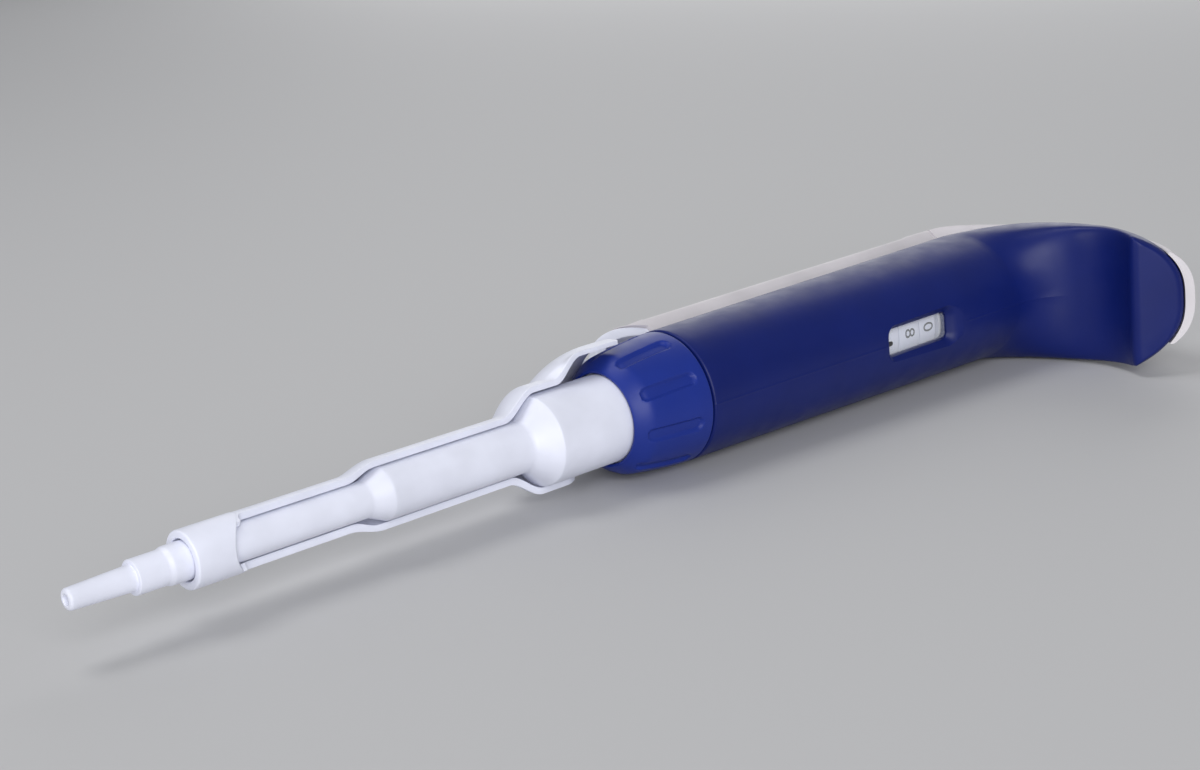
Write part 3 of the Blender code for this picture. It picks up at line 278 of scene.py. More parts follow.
# Coil springs: wire radius, coil radius and curls
PISTON_SPRING = (0.3, 2.7, 9)
BLOW_OUT_SPRING = (0.5, 5.0, 3)
EJECT_SPRING = (0.2, 0.75, 9)
VOLUME_CURLS = 3  # curls at the piston spring's foot that take up the volume setting
SPRING_SPLIT = 0.01  # share of a curl left open between its two pieces
WIRE_STEPS = 10
CURL_STEPS = 24

# Stations along the axis
Z_STOP = 10.9
Z_FLARE = 16.1
Z_TUBE = 16.9
Z_RING = 19.8
Z_RING_TOP = 29.4
Z_STEP = 54.0
Z_MIDDLE = 57.5
Z_SEAL = 58.0
Z_SEAL_TOP = 66.0
Z_SHOULDER = 87.8
Z_BARREL = 91.4
Z_BARREL_FLOOR = 94.0
Z_TAIL = 97.4
Z_COLLAR_END = 112.7
Z_SHAFT_TOP = 111.8
Z_NUT = 107.3
Z_NUT_TOP = Z_NUT + NUT_LENGTH
Z_SEAM = 124.5
Z_NOSE = 126.0
Z_HOOD = 126.2
Z_SPINE = 133.3
Z_COUNTER = 173.3
Z_WINDOW = 174.0
Z_BORE_TOP = 206.0
Z_CURVE = Z_SEAM + HANDLE_LENGTH
Z_SPINE_TOP = 222.4
Z_HEAD = Z_CURVE + HEAD_RISE
Z_KNOB = 233.3
Z_KNOB_TOP = 248.5
Z_EJECT_BUTTON = 243.0
Z_BUTTON = 249.0
Z_BUTTON_TOP = 258.0
Z_PISTON_SPRING = (67.6, 99.7)
Z_BLOW_OUT_SPRING = (127.9, 137.5)
Z_EJECT_SPRING = (155.6, 184.4)
PIVOT_X = HANDLE_FRONT[1] + FINGER_R

# Ends of the half pipe's two steps, and where its sections start to lie closer
Z_PIPE_INSIDE = (Z_STEP - 2.9, Z_MIDDLE - 1.2, Z_SHOULDER - 2.8, Z_BARREL + 0.6)
Z_PIPE_OUTSIDE = (Z_STEP - 3.7, Z_MIDDLE - 0.4, Z_SHOULDER - 3.6, Z_BARREL + 0.4)
Z_PIPE_DENSE = Z_SHOULDER - 4.0

ROUND = 128  # facets round a full turn
NUDGE = 0.01  # a step too short to see
SHARP_DEG = 32.0  # edges that turn more than this stay sharp


def pipette_frame():
    """The pipette's own frame in the scene, from the counter's joint and the window."""
    joint = next(joint for joint in frame["joints"] if joint["name"] == "volume_spin")
    axis = Vector(joint["axis"]).normalized()
    foot = Vector(joint["pos_m"])
    low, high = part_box("window_lens")
    front = (low + high) / 2 - foot
    front = (front - axis * front.dot(axis)).normalized()
    turn = Matrix((front, axis.cross(front), axis)).transposed().to_4x4()
    return Matrix.Translation(foot - axis * Z_COUNTER * MM) @ turn @ Matrix.Scale(MM, 4)


PLACE = pipette_frame()


def make_camera():
    place = PLACE @ Vector(CAMERA_PLACE)
    back = place - PLACE @ Vector(CAMERA_TARGET)
    camera = bpy.data.cameras.new("photo_camera")
    camera.sensor_width = SENSOR_MM
    camera.lens = SENSOR_MM * FOCAL_PX / IMAGE_WIDTH
    camera.clip_start = 0.01
    holder = bpy.data.objects.new("photo_camera", camera)
    turn = back.to_track_quat("Z", "Y").to_matrix().to_4x4()
    roll = Matrix.Rotation(math.radians(CAMERA_ROLL_DEG), 4, "Z")
    holder.matrix_world = Matrix.Translation(place) @ turn @ roll
    bpy.context.scene.collection.objects.link(holder)
    bpy.context.scene.camera = holder


def area_light(name, place, size, power):
    """A round lamp that faces the scene's origin."""
    light = bpy.data.lights.new(name, "AREA")
    light.shape = "DISK"
    light.size = size
    light.energy = power
    holder = bpy.data.objects.new(name, light)
    holder.location = place
    holder.rotation_euler = Vector(place).to_track_quat("Z", "Y").to_euler()
    bpy.context.scene.collection.objects.link(holder)


def make_stage():
    mesh = bpy.data.meshes.new("floor")
    half = FLOOR_HALF
    corners = [(-half, -half, 0), (half, -half, 0), (half, half, 0), (-half, half, 0)]
    mesh.from_pydata(corners, [], [(0, 1, 2, 3)])
    floor = bpy.data.objects.new("floor", mesh)
    paint = bpy.data.materials.new("floor_paint")
    paint.use_nodes = True
    shader = paint.node_tree.nodes["Principled BSDF"]
    shader.inputs["Base Color"].default_value = FLOOR_COLOUR
    shader.inputs["Roughness"].default_value = FLOOR_ROUGHNESS
    mesh.materials.append(paint)
    bpy.context.scene.collection.objects.link(floor)
    world = bpy.data.worlds.new("studio")
    world.use_nodes = True
    sky = world.node_tree.nodes["Background"]
    sky.inputs["Color"].default_value = WORLD_COLOUR
    sky.inputs["Strength"].default_value = WORLD_STRENGTH
    bpy.context.scene.world = world
    for name, light in LIGHTS.items():
        area_light(name, *light)


# Node helpers

def noise(tree, place, size, detail=2.0):
    """Noise whose lumps are about size millimetres."""
    node = tree.nodes.new("ShaderNodeTexNoise")
    node.inputs["Scale"].default_value = 1 / (size * MM)
    node.inputs["Detail"].default_value = detail
    tree.links.new(place, node.inputs["Vector"])
    return node.outputs["Fac"]


def spread(tree, value, low, high, start=0.3, end=0.7):
    """A value that runs from start to end, mapped to run from low to high."""
    node = tree.nodes.new("ShaderNodeMapRange")
    tree.links.new(value, node.inputs["Value"])
    for name, number in (("From Min", start), ("From Max", end), ("To Min", low), ("To Max", high)):
        node.inputs[name].default_value = number
    return node.outputs["Result"]


def mixed(tree, share, first, second):
    """A colour between two, each a colour or the output of a node."""
    node = tree.nodes.new("ShaderNodeMix")
    node.data_type = "RGBA"
    tree.links.new(share, node.inputs[0])
    for socket, value in ((node.inputs[6], first), (node.inputs[7], second)):
        if isinstance(value, tuple):
            socket.default_value = (*value, 1)
        else:
            tree.links.new(value, socket)
    return node.outputs[2]


def shade(colour, share):
    """A colour made darker or lighter."""
    return tuple(min(channel * share, 1.0) for channel in colour)


def bumped(tree, shader, height, depth):
    """Raises a surface by a height map that is depth millimetres deep."""
    node = tree.nodes.new("ShaderNodeBump")
    node.inputs["Strength"].default_value = 1.0
    node.inputs["Distance"].default_value = depth * MM
    tree.links.new(height, node.inputs["Height"])
    tree.links.new(node.outputs["Normal"], shader.inputs["Normal"])


def start_material(name):
    made = bpy.data.materials.new(name)
    made.use_nodes = True
    tree = made.node_tree
    place = tree.nodes.new("ShaderNodeTexCoord").outputs["Object"]
    return made, tree, tree.nodes["Principled BSDF"], place


def plastic(name, colour, roughness, grain, depth, worn=None, sheen=0.5):
    """Moulded plastic: a fine grain, a slightly uneven tone and gloss, and edges rubbed to another tone."""
    made, tree, shader, place = start_material(name)
    clouds = spread(tree, noise(tree, place, 11.0, 3.0), 0, 1)
    tone = mixed(tree, clouds, shade(colour, 0.93), shade(colour, 1.06))
    if worn:
        edge = tree.nodes.new("ShaderNodeNewGeometry").outputs["Pointiness"]
        tone = mixed(tree, spread(tree, edge, 0.0, 0.7, 0.53, 0.62), tone, worn)
    tree.links.new(tone, shader.inputs["Base Color"])
    smudge = spread(tree, noise(tree, place, 4.0, 4.0), roughness - 0.05, roughness + 0.06)
    tree.links.new(smudge, shader.inputs["Roughness"])
    shader.inputs["Specular IOR Level"].default_value = sheen
    bumped(tree, shader, noise(tree, place, grain), depth)
    return made


def steel(name, colour):
    """Turned steel: fine rings round the axis and a few dull patches."""
    made, tree, shader, place = start_material(name)
    stretch = tree.nodes.new("ShaderNodeMapping")
    stretch.inputs["Scale"].default_value = (12.0, 0.6, 0.6)
    tree.links.new(place, stretch.inputs["Vector"])
    rings = noise(tree, stretch.outputs["Vector"], 1.0, 3.0)
    tone = mixed(tree, spread(tree, rings, 0, 1), shade(colour, 0.85), shade(colour, 1.1))
    tree.links.new(tone, shader.inputs["Base Color"])
    tree.links.new(spread(tree, noise(tree, place, 3.0), 0.22, 0.36), shader.inputs["Roughness"])
    shader.inputs["Metallic"].default_value = 1.0
    bumped(tree, shader, rings, 0.004)
    return made


def clear_pane(name, colour):
    """A clear moulded pane with faint smears."""
    made, tree, shader, place = start_material(name)
    tone = mixed(tree, spread(tree, noise(tree, place, 6.0), 0, 1), shade(colour, 0.95), colour)
    tree.links.new(tone, shader.inputs["Base Color"])
    tree.links.new(spread(tree, noise(tree, place, 2.0, 4.0), 0.03, 0.09), shader.inputs["Roughness"])
    shader.inputs["Alpha"].default_value = 0.12
    return made


BLUE = (0.003, 0.011, 0.125)
# the handle's blue made lighter for the nut: painted light, the nut shown more brightly lit than the handle
NUT_BLUE_PAINTED_LIT = (0.01, 0.028, 0.24)
WHITE = (0.79, 0.81, 0.93)
GREY = (0.67, 0.64, 0.67)
CREAM = (0.7, 0.68, 0.6)
STEEL = (0.6, 0.6, 0.62)
BLACK = (0.02, 0.02, 0.022)
DARK_INK = (0.06, 0.065, 0.07)
RED_INK = (0.5, 0.12, 0.1)
PANE = (0.85, 0.88, 0.9)
PLASTICS = {  # colour, roughness, size and depth of the grain, colour of rubbed edges, sheen
    "blue_plastic": (BLUE, 0.4, 0.35, 0.006, None, 0.3),
    "white_plastic": (WHITE, 0.42, 0.3, 0.003, (0.84, 0.85, 0.88)),
    "grey_plastic": (GREY, 0.48, 0.35, 0.004, (0.74, 0.71, 0.74)),
    "cream_plastic": (CREAM, 0.45, 0.3, 0.003, (0.78, 0.76, 0.68)),
    "black_rubber": (BLACK, 0.65, 0.2, 0.006, (0.06, 0.06, 0.06)),
    # lighter copy of the blue plastic for the nut: painted light
    "blue_nut_painted_lit": (NUT_BLUE_PAINTED_LIT, 0.4, 0.35, 0.006, None, 0.3),
    "dark_ink": (DARK_INK, 0.6, 0.15, 0.002),
    "red_ink": (RED_INK, 0.6, 0.15, 0.002),
}
LOOKS = {name: plastic(name, *look) for name, look in PLASTICS.items()}
LOOKS["steel"] = steel("steel", STEEL)
LOOKS["clear_pane"] = clear_pane("clear_pane", PANE)


# Shape helpers

def eased(t):
    """0 to 1 with a level start and end."""
    t = min(max(t, 0.0), 1.0)
    return t * t * (3 - 2 * t)


def blend(low, high, t):
    return low + (high - low) * t


def steps_between(low, high, count):
    """Evenly spaced values from low to high, both ends included."""
    return [blend(low, high, i / count) for i in range(count + 1)]


def along(z, stops):
    """A value at a height, from (height, value) stops with an eased run between each two."""
    for (start, first), (end, second) in zip(stops, stops[1:]):
        if z <= end:
            return blend(first, second, eased((z - start) / (end - start)))
    return stops[-1][1]


def arc(centre, radius, start_deg, end_deg, steps):
    """Points along an arc of an outline."""
    angles = [math.radians(a) for a in steps_between(start_deg, end_deg, steps)]
    return [(centre[0] + radius * math.cos(a), centre[1] + radius * math.sin(a)) for a in angles]


def soft_outline(corners, steps=5, spacing=1.5):
    """A closed outline with rounded corners, each given as (radius, height, setback), and no long runs."""
    soft = []
    for i, (radius, height, setback) in enumerate(corners):
        corner = Vector((radius, height))
        start = corner + (Vector(corners[i - 1][:2]) - corner).normalized() * setback
        end = corner + (Vector(corners[(i + 1) % len(corners)][:2]) - corner).normalized() * setback
        for t in steps_between(0, 1, steps) if setback else [0.0]:
            soft.append(start * (1 - t) ** 2 + corner * 2 * t * (1 - t) + end * t ** 2)
    made = []
    for here, following in zip(soft, soft[1:] + soft[:1]):
        parts = max(math.ceil((following - here).length / spacing), 1)
        made += [tuple(here.lerp(following, i / parts)) for i in range(parts)]
    return made


def skin(rows, looped=False, capped=False):
    """A shape over rows of points, each row a closed ring."""
    shape = bmesh.new()
    made = [[shape.verts.new(point) for point in row] for row in rows]
    pairs = list(zip(made, made[1:]))
    if looped:
        pairs.append((made[-1], made[0]))
    for low, high in pairs:
        for i in range(len(low)):
            j = (i + 1) % len(low)
            shape.faces.new((low[i], low[j], high[j], high[i]))
    if capped:
        shape.faces.new(made[0])
        shape.faces.new(made[-1])
    return shape


def turned(outline, steps=ROUND):
    """A shape turned about the axis from an outline of (radius, height), or a function of the angle."""
    rows = []
    for i in range(steps):
        turn = TAU * i / steps
        points = outline(turn) if callable(outline) else outline
        rows.append([(r * math.cos(turn), r * math.sin(turn), z) for r, z in points])
    return skin(rows, looped=True)


def box(low, high):
    """A block between two corners."""
    middle = [(a + b) / 2 for a, b in zip(low, high)]
    size = [b - a for a, b in zip(low, high)]
    shape = bmesh.new()
    bmesh.ops.create_cube(shape, size=1.0, matrix=Matrix.Translation(middle) @ Matrix.Diagonal((*size, 1)))
    return shape


def rounded_box_ring(x, half_width, low, high, radius, steps=8):
    """A rounded rectangle in the plane at x, between two heights."""
    corners = ((half_width, high, 0), (-half_width, high, 90),
               (-half_width, low, 180), (half_width, low, 270))
    ring = []
    for y, z, turn in corners:
        centre = (y - math.copysign(radius, y), z - radius if z == high else z + radius)
        ring += arc(centre, radius, turn, turn + 90, steps)
    return [(x, y, z) for y, z in ring]


def solid(name, shape):
    """An object from a shape in millimetres, closed and facing out."""
    bmesh.ops.remove_doubles(shape, verts=shape.verts, dist=1e-4)
    bmesh.ops.dissolve_degenerate(shape, edges=shape.edges, dist=1e-5)
    bmesh.ops.recalc_face_normals(shape, faces=shape.faces)
    if shape.calc_volume(signed=True) < 0:
        bmesh.ops.reverse_faces(shape, faces=shape.faces)
    shape.transform(PLACE)
    mesh = bpy.data.meshes.new(name)
    shape.to_mesh(mesh)
    shape.free()
    obj = bpy.data.objects.new(name, mesh)
    bpy.context.scene.collection.objects.link(obj)
    return obj


def settle(obj):
    """Turns an object's modifiers into its mesh."""
    graph = bpy.context.evaluated_depsgraph_get()
    mesh = bpy.data.meshes.new_from_object(obj.evaluated_get(graph))
    obj.modifiers.clear()
    obj.data = mesh


def carve(obj, shape, operation="DIFFERENCE"):
    """Cuts a shape out of an object, or joins it on."""
    other = solid(obj.name + "_cutter", shape)
    modifier = obj.modifiers.new("carve", "BOOLEAN")
    modifier.object = other
    modifier.operation = operation
    settle(obj)
    bpy.data.objects.remove(other)


def dress(obj, look, body, *nodes, slot=None):
    """Gives a piece its finish, smooth shading and any body, and hides the CAD nodes it stands for."""
    obj.data.materials.clear()
    obj.data.materials.append(look)
    obj.data.shade_smooth()
    obj.data.set_sharp_from_angle(angle=math.radians(SHARP_DEG))
    if body:
        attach(obj, body)
    if nodes:
        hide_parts(*nodes)


def finish(obj, slot, body, *nodes):
    """Dresses a piece in a material slot's finish."""
    dress(obj, LOOKS[slot], body, *nodes, slot=slot)


# Shaft and coupling nut

def make_shaft():
    flange_low = Z_SHAFT_TOP - FLANGE_THICK
    corners = [
        (NOZZLE_MOUTH_R, 0, 0.08), (NOZZLE_BORE_R, NOZZLE_MOUTH, 0.2),
        (NOZZLE_BORE_R, NOZZLE_BORE_LENGTH - 0.5, 0), (PISTON_BORE_R, NOZZLE_BORE_LENGTH, 0),
        (PISTON_BORE_R, Z_SEAL, 0), (SEAL_BORE_R, Z_SEAL, 0),
        (SEAL_BORE_R, Z_SEAL_TOP, 0), (SPRING_BORE_R, Z_SEAL_TOP, 0), (SPRING_BORE_R, Z_BARREL_FLOOR, 0),
        (BARREL_BORE_R, Z_BARREL_FLOOR, 0), (BARREL_BORE_R, Z_SHAFT_TOP, 0.2), (FLANGE_R, Z_SHAFT_TOP, 0.2),
        (FLANGE_R, flange_low, 0.2), (BARREL_R, flange_low, 0), (BARREL_R, Z_BARREL, 0.3),
        (MIDDLE_R, Z_SHOULDER, 0.9), (MIDDLE_R, Z_MIDDLE, 0.35), (TUBE_R, Z_STEP, 0.5),
        (TUBE_R, Z_TUBE, 0.25), (STOP_R, Z_FLARE, 0.25), (STOP_R, Z_STOP, 0.22),
        (NOZZLE_TOP_R, Z_STOP, 0.12), (NOZZLE_END_R, 0, NOZZLE_ROUND),
    ]
    finish(solid("shaft_body", turned(soft_outline(corners))), "white_plastic", "handle", "shaft")


def nut_radius(z):
    """Outer radius of the coupling nut: a rounded nose that runs into a shallow cone."""
    t = (z - Z_NUT) / NUT_LENGTH
    nose = min((z - Z_NUT) / NUT_NOSE_LENGTH, 1.0)
    cone = blend(NUT_LOW_R + NUT_NOSE_RISE, NUT_TOP_R, 1 - (1 - t) ** NUT_CONE_POWER)
    return blend(NUT_LOW_R, cone, math.sin(nose * math.pi / 2) ** NUT_NOSE_POWER)


def slot_depth(turn, z):
    """How deep the nearest grip slot is at a place on the nut."""
    pitch = TAU / SLOT_COUNT
    away = (turn - math.radians(SLOT_START_DEG) + pitch / 2) % pitch - pitch / 2
    radius = SLOT_WIDTH / 2
    low = Z_NUT + SLOT_FROM_NUT_END + radius
    high = Z_NUT + SLOT_FROM_NUT_END + SLOT_LENGTH - radius
    inside = radius - math.hypot(away * nut_radius(z), max(low - z, z - high, 0))
    return SLOT_DEPTH * eased(inside / SLOT_SIDE)


def make_coupling_nut():
    lip_top = Z_SHAFT_TOP - FLANGE_THICK - GAP
    bore = [(NUT_BORE_R, Z_NUT_TOP), (NUT_BORE_R, lip_top), (NUT_LIP_R, lip_top), (NUT_LIP_R, Z_NUT + 0.15)]
    nose = [Z_NUT + NUT_NOSE_LENGTH * (i / 14) ** 1.6 for i in range(14)]
    stations = nose + steps_between(Z_NUT + NUT_NOSE_LENGTH, Z_NUT_TOP - NUT_ROUND, 46)
    rim = arc((NUT_TOP_R - NUT_ROUND, Z_NUT_TOP - NUT_ROUND), NUT_ROUND, 0, 90, 5)[1:]

    def outline(turn):
        return bore + [(nut_radius(z) - slot_depth(turn, z), z) for z in stations] + rim

    nut = solid("grip_nut", turned(outline, NUT_FACETS))
    # the nut wears a lighter copy of the handle's blue plastic: painted light
    dress(nut, LOOKS["blue_nut_painted_lit"], "coupling_nut", "shaft_coupling_nut", slot="blue_plastic")


# Handle and hook

def section_point(angle, section, lift=0.0):
    """A point of a section, as distance behind the front point and distance to the side.

    The section runs from a front point to a back point of the side view, each (x, z). It is widest at
    centre millimetres behind the front. front_square and back_square are 2 for a round half and more for
    a squarer one, and taper narrows the back half.
    """
    front, back, centre, half_width, front_square, back_square, taper = section
    depth = math.dist(front, back)
    c = math.cos(angle)
    s = math.sin(angle)
    power = 2 / (front_square if c > 0 else back_square)
    run = math.copysign(abs(c) ** power, c)
    side = math.copysign(abs(s) ** power, s)
    if c > 0:
        return centre - (centre + lift) * run, (half_width + lift) * side
    return centre - (depth - centre + lift) * run, (half_width + lift) * side * (1 + taper * run)


def in_side_view(section, at, side):
    """Places a section point in the pipette's frame."""
    front, back = section[:2]
    depth = math.dist(front, back)
    x = front[0] + (back[0] - front[0]) * at / depth
    z = front[1] + (back[1] - front[1]) * at / depth
    return x, side, z


def section_ring(section, inset=0.0, parting=1.0, count=176):
    """A closed ring of points round a section, with a fine raised line down its front."""
    half_width = section[3]
    square = section[4]
    near = [math.asin((PARTING_HALF_WIDTH * share / half_width) ** (square / 2)) for share in (0.5, 1.0)]
    angles = [0.0] + near + [TAU * i / count for i in range(1, count)] + [TAU - a for a in near[::-1]]
    shoulder = PARTING_SHOULDER * PARTING_HEIGHT * parting
    lifts = [PARTING_HEIGHT * parting, shoulder] + [0.0] * (count + 1) + [shoulder]
    places = [section_point(angle, section, lift - inset) for angle, lift in zip(angles, lifts)]
    return [in_side_view(section, *place) for place in places]


def straight_size(z):
    """Front, back and side distances of the straight handle at a height."""
    t = min(max((z - Z_SEAM) / HANDLE_LENGTH, 0.0), 1.0)
    curved = eased(t) * HANDLE_FRONT_CURVE + t * (1 - HANDLE_FRONT_CURVE)
    return blend(*HANDLE_FRONT, curved), blend(*HANDLE_BACK, t), blend(*HANDLE_SIDE, t)


def hook_tip():
    """Front and back points of the hook's end face in the side view."""
    turn = math.radians(HOOK_SWEEP_DEG)
    out = Vector((-math.cos(turn), math.sin(turn)))
    pivot = Vector((PIVOT_X, Z_CURVE))
    return pivot + out * FINGER_R, pivot + out * (FINGER_R + HOOK_THICK)


def head_line(t):
    """The head's outer line in the side view: up the back, round the corner and down to the hook's tip."""
    back = -HANDLE_BACK[1]
    tip = hook_tip()[1]
    knots = [
        (back, Z_CURVE),
        (back - HEAD_LEAN, Z_HEAD - 1.45 * HEAD_CORNER),
        (back + 0.42 * HEAD_CORNER, Z_HEAD - 0.36 * HEAD_CORNER),
        (back + 1.7 * HEAD_CORNER, Z_HEAD),
        (PIVOT_X - 0.4 * FINGER_R, Z_HEAD + HEAD_CROWN),
        (PIVOT_X + 0.68 * FINGER_R, Z_HEAD - HEAD_FALL),
        (tip.x, tip.y),
    ]
    place = t * (len(knots) - 1)
    k = min(int(place), len(knots) - 2)
    u = place - k
    before = knots[k - 1] if k else (back, Z_CURVE - 12.0)
    after = knots[k + 2] if k + 2 < len(knots) else (tip.x + 5.0, tip.y - 8.0)
    made = []
    for p0, p1, p2, p3 in zip(before, knots[k], knots[k + 1], after):
        made.append(0.5 * (2 * p1 + (p2 - p0) * u + (2 * p0 - 5 * p1 + 4 * p2 - p3) * u ** 2
                           + (3 * p1 - p0 - 3 * p2 + p3) * u ** 3))
    return made


def straight_section(z):
    """The straight handle's section at a height."""
    front, back, side = straight_size(z)
    return (front, z), (-back, z), front, side, 2.0, 2.0, 0.0


def head_section(t):
    """The head's section at 0 to 1 along its sweep."""
    turn = math.radians(HOOK_SWEEP_DEG) * t
    front = (PIVOT_X - FINGER_R * math.cos(turn), Z_CURVE + FINGER_R * math.sin(turn))
    centre = blend(HOOK_WIDEST, HANDLE_FRONT[1], (1 - t) ** 2.2)
    late = eased(max(t - HOOK_FROM, 0) / (1 - HOOK_FROM))
    side = HANDLE_SIDE[1] + HOOK_BULGE * math.sin(math.pi * t)
    return (front, head_line(t), centre, side, blend(2.0, HOOK_FRONT_SQUARE, eased(1.5 * t)),
            blend(2.0, HOOK_BACK_SQUARE, late), blend(0.0, HOOK_TAPER, late))


def handle_shape():
    """The grip from its lower rim to the hook's rounded end."""
    rings = []
    for t in steps_between(0, 1, 6):
        turn = t * math.pi / 2
        z = Z_SEAM + HANDLE_EDGE_R * (1 - math.cos(turn))
        rings.append(section_ring(straight_section(z), HANDLE_EDGE_R * (1 - math.sin(turn))))
    for z in steps_between(Z_SEAM + HANDLE_EDGE_R, Z_CURVE, 50)[1:]:
        rings.append(section_ring(straight_section(z)))
    for t in steps_between(0, 1, 96)[1:-6]:
        rings.append(section_ring(head_section(t), 0.0, 1 - eased(t / PARTING_FADE)))
    front, back, *shape = head_section(1.0)
    out = Vector((back[1] - front[1], -(back[0] - front[0]))).normalized()
    for turn in steps_between(0, math.pi / 2, 12):
        push = out * (HOOK_OVERHANG - HOOK_EDGE_R * (1 - math.sin(turn)))
        inset = HOOK_EDGE_R * (1 - math.cos(turn))
        centre = max(shape[0], inset + HOOK_WIDEST / 2)
        moved = (Vector(front) + push, Vector(back) + push, centre, *shape[1:])
        rings.append(section_ring(moved, inset, 0.0))
    return skin(rings, capped=True)


def make_handle():
    handle = solid("grip", handle_shape())
    carve(handle, turned([
        (0, Z_SEAM - OVERRUN), (BORE_R, Z_SEAM - OVERRUN), (BORE_R, Z_BORE_TOP), (NECK_BORE_R, Z_BORE_TOP),
        (NECK_BORE_R, Z_HEAD + OVERRUN), (0, Z_HEAD + OVERRUN)]))
    high = Z_WINDOW + WINDOW_LENGTH
    floor_x = LENS_FROM_AXIS + LENS_THICK + LENS_SINK
    rings = []
    for rise, grow in WINDOW_FLARE:
        rings.append(rounded_box_ring(floor_x + rise, WINDOW_HALF_WIDTH + grow, Z_WINDOW - grow,
                                      high + grow, WINDOW_CORNER_R + grow))
    carve(handle, skin(rings, capped=True))
    rings = [rounded_box_ring(x, WINDOW_HALF_WIDTH, Z_WINDOW, high, WINDOW_CORNER_R)
             for x in (BORE_R - OVERRUN, floor_x + GAP)]
    carve(handle, skin(rings, capped=True))
    finish(handle, "blue_plastic", "handle", "handle")


# Covers

def edge_round(share, from_share):
    """Thickness near a rounded edge: 1 inside from_share, falling to 0 at the edge as a quarter circle."""
    out = max(abs(share) - from_share, 0) / (1 - from_share)
    return math.sqrt(max(1 - out * out, 0.0))


def cover_section(t):
    """The top cover's crescent section over the head at 0 to 1 along it."""
    section = head_section(t)
    thinned = eased((t - COVER_FROM) / (COVER_THIN_FROM - COVER_FROM))
    middle = blend(SPINE_RISE + GAP + SPINE_HEAD_GAP - COVER_GAP, COVER_THICK, thinned)
    half = math.radians(blend(COVER_START_DEG, COVER_EDGE_DEG, thinned))
    outer = []
    inner = []
    for share in steps_between(-1, 1, 72):
        share = math.copysign(1 - (1 - abs(share)) ** 1.3, share)
        angle = math.pi + half * share
        place = Vector(section_point(angle, section))
        run = Vector(section_point(angle + NUDGE, section)) - Vector(section_point(angle - NUDGE, section))
        normal = Vector((abs(run.y), -run.x if run.y > 0 else run.x)).normalized()
        thick = middle * blend(1, blend(1, COVER_EDGE_SHARE, thinned), share ** 2)
        rounded = edge_round(share, blend(*COVER_ROUND_FROM, thinned))
        thick *= blend(blend(*COVER_ROUND_LEFT, thinned), 1.0, rounded)
        inner.append(in_side_view(section, *(place + normal * COVER_GAP)))
        outer.append(in_side_view(section, *(place + normal * (COVER_GAP + thick))))
    return outer + inner[::-1]


def make_top_cover():
    rings = [cover_section(t) for t in steps_between(COVER_FROM, 1.0, 90)]
    cover = solid("head_cover", skin(rings, capped=True))
    reach = 2 * HANDLE_SIDE[1]
    hole = [(0, Z_CURVE), (NECK_BORE_R, Z_CURVE), (NECK_BORE_R, Z_HEAD + reach), (0, Z_HEAD + reach)]
    carve(cover, turned(hole))
    width = BAR_HALF_WIDTH + SLIDE_GAP
    carve(cover, box((-(BAR_FROM_AXIS + BAR_THICK + SLIDE_GAP), -width, Z_CURVE),
                     (-(BAR_FROM_AXIS - SLIDE_GAP), width, Z_HEAD + reach)))
    carve(cover, box((-reach, -reach, Z_CURVE - reach), (reach, reach, Z_SPINE_TOP + COVER_SEAM)))
    finish(cover, "grey_plastic", "handle", "top_cover")


def shell_section(z, inner, outer, halves, depth, steps=60, corner=8):
    """A section behind the axis between two radii, each a function of the angle from the back.

    It reaches round to an angle on each side. Its edges are half round where depth is 1 and flatter, with
    rounded corners, where depth is less.
    """
    rims = []
    flats = []
    for side, half in zip((-1, 1), halves):
        mid = (inner(side * half) + outer(side * half)) / 2
        thick = (outer(side * half) - inner(side * half)) / 2
        reach = thick * depth / mid
        flats.append(side * (half - reach))
        rims.append([])
        for turn in steps_between(0, math.pi, corner)[1:-1]:
            across = math.copysign(abs(math.cos(turn)) ** depth, math.cos(turn))
            rims[-1].append((mid + thick * across, side * (half - reach + reach * math.sin(turn) ** depth)))
    angles = [blend(*flats, (1 - math.cos(turn)) / 2) for turn in steps_between(0, math.pi, steps)]
    places = [(outer(angle), angle) for angle in angles] + rims[1]
    places += [(inner(angle), angle) for angle in angles[::-1]] + rims[0][::-1]
    return [(-radius * math.cos(angle), radius * math.sin(angle), z) for radius, angle in places]


def ellipse(angle, back, side):
    """Distance from the axis of an ellipse with these half sizes, at an angle from the back."""
    return 1 / math.hypot(math.cos(angle) / back, math.sin(angle) / side)


def nose_radius(z, angle):
    """Outer radius of the ejector arm's nose at a height and an angle from the back."""
    rise = GAP + NOSE_RISE - NOSE_CURVE * (z - Z_NOSE) ** 2
    back, side = straight_size(Z_SPINE)[1:]
    return ellipse(angle, back + rise, side + rise)


def spine_section(z, hooded):
    """Back cover: an arch with a channel for the ejector bar, or its hood over the arm's nose."""
    back, side = (size + GAP + (SPINE_HEAD_GAP if z > Z_CURVE else 0.0) for size in straight_size(z)[1:])
    channel_x = BAR_FROM_AXIS + BAR_THICK + SLIDE_GAP
    channel_half = math.atan((BAR_HALF_WIDTH + SLIDE_GAP) / BAR_FROM_AXIS)

    def inner(angle):
        below = nose_radius(z, angle) + COVER_SEAM if hooded else ellipse(angle, back, side)
        if abs(angle) < channel_half:
            return max(channel_x / math.cos(angle), below)
        return below

    def outer(angle):
        arch = ellipse(angle, back + SPINE_RISE, side + SPINE_RISE)
        return max(arch, inner(angle) + HOOD_WALL) if hooded else arch

    half = math.radians(blend(HOOD_HALF_DEG, SPINE_HALF_DEG, min((z - Z_HOOD) / (Z_SPINE - Z_HOOD), 1)))
    return shell_section(z, inner, outer, [half, half], SPINE_EDGE_DEPTH)


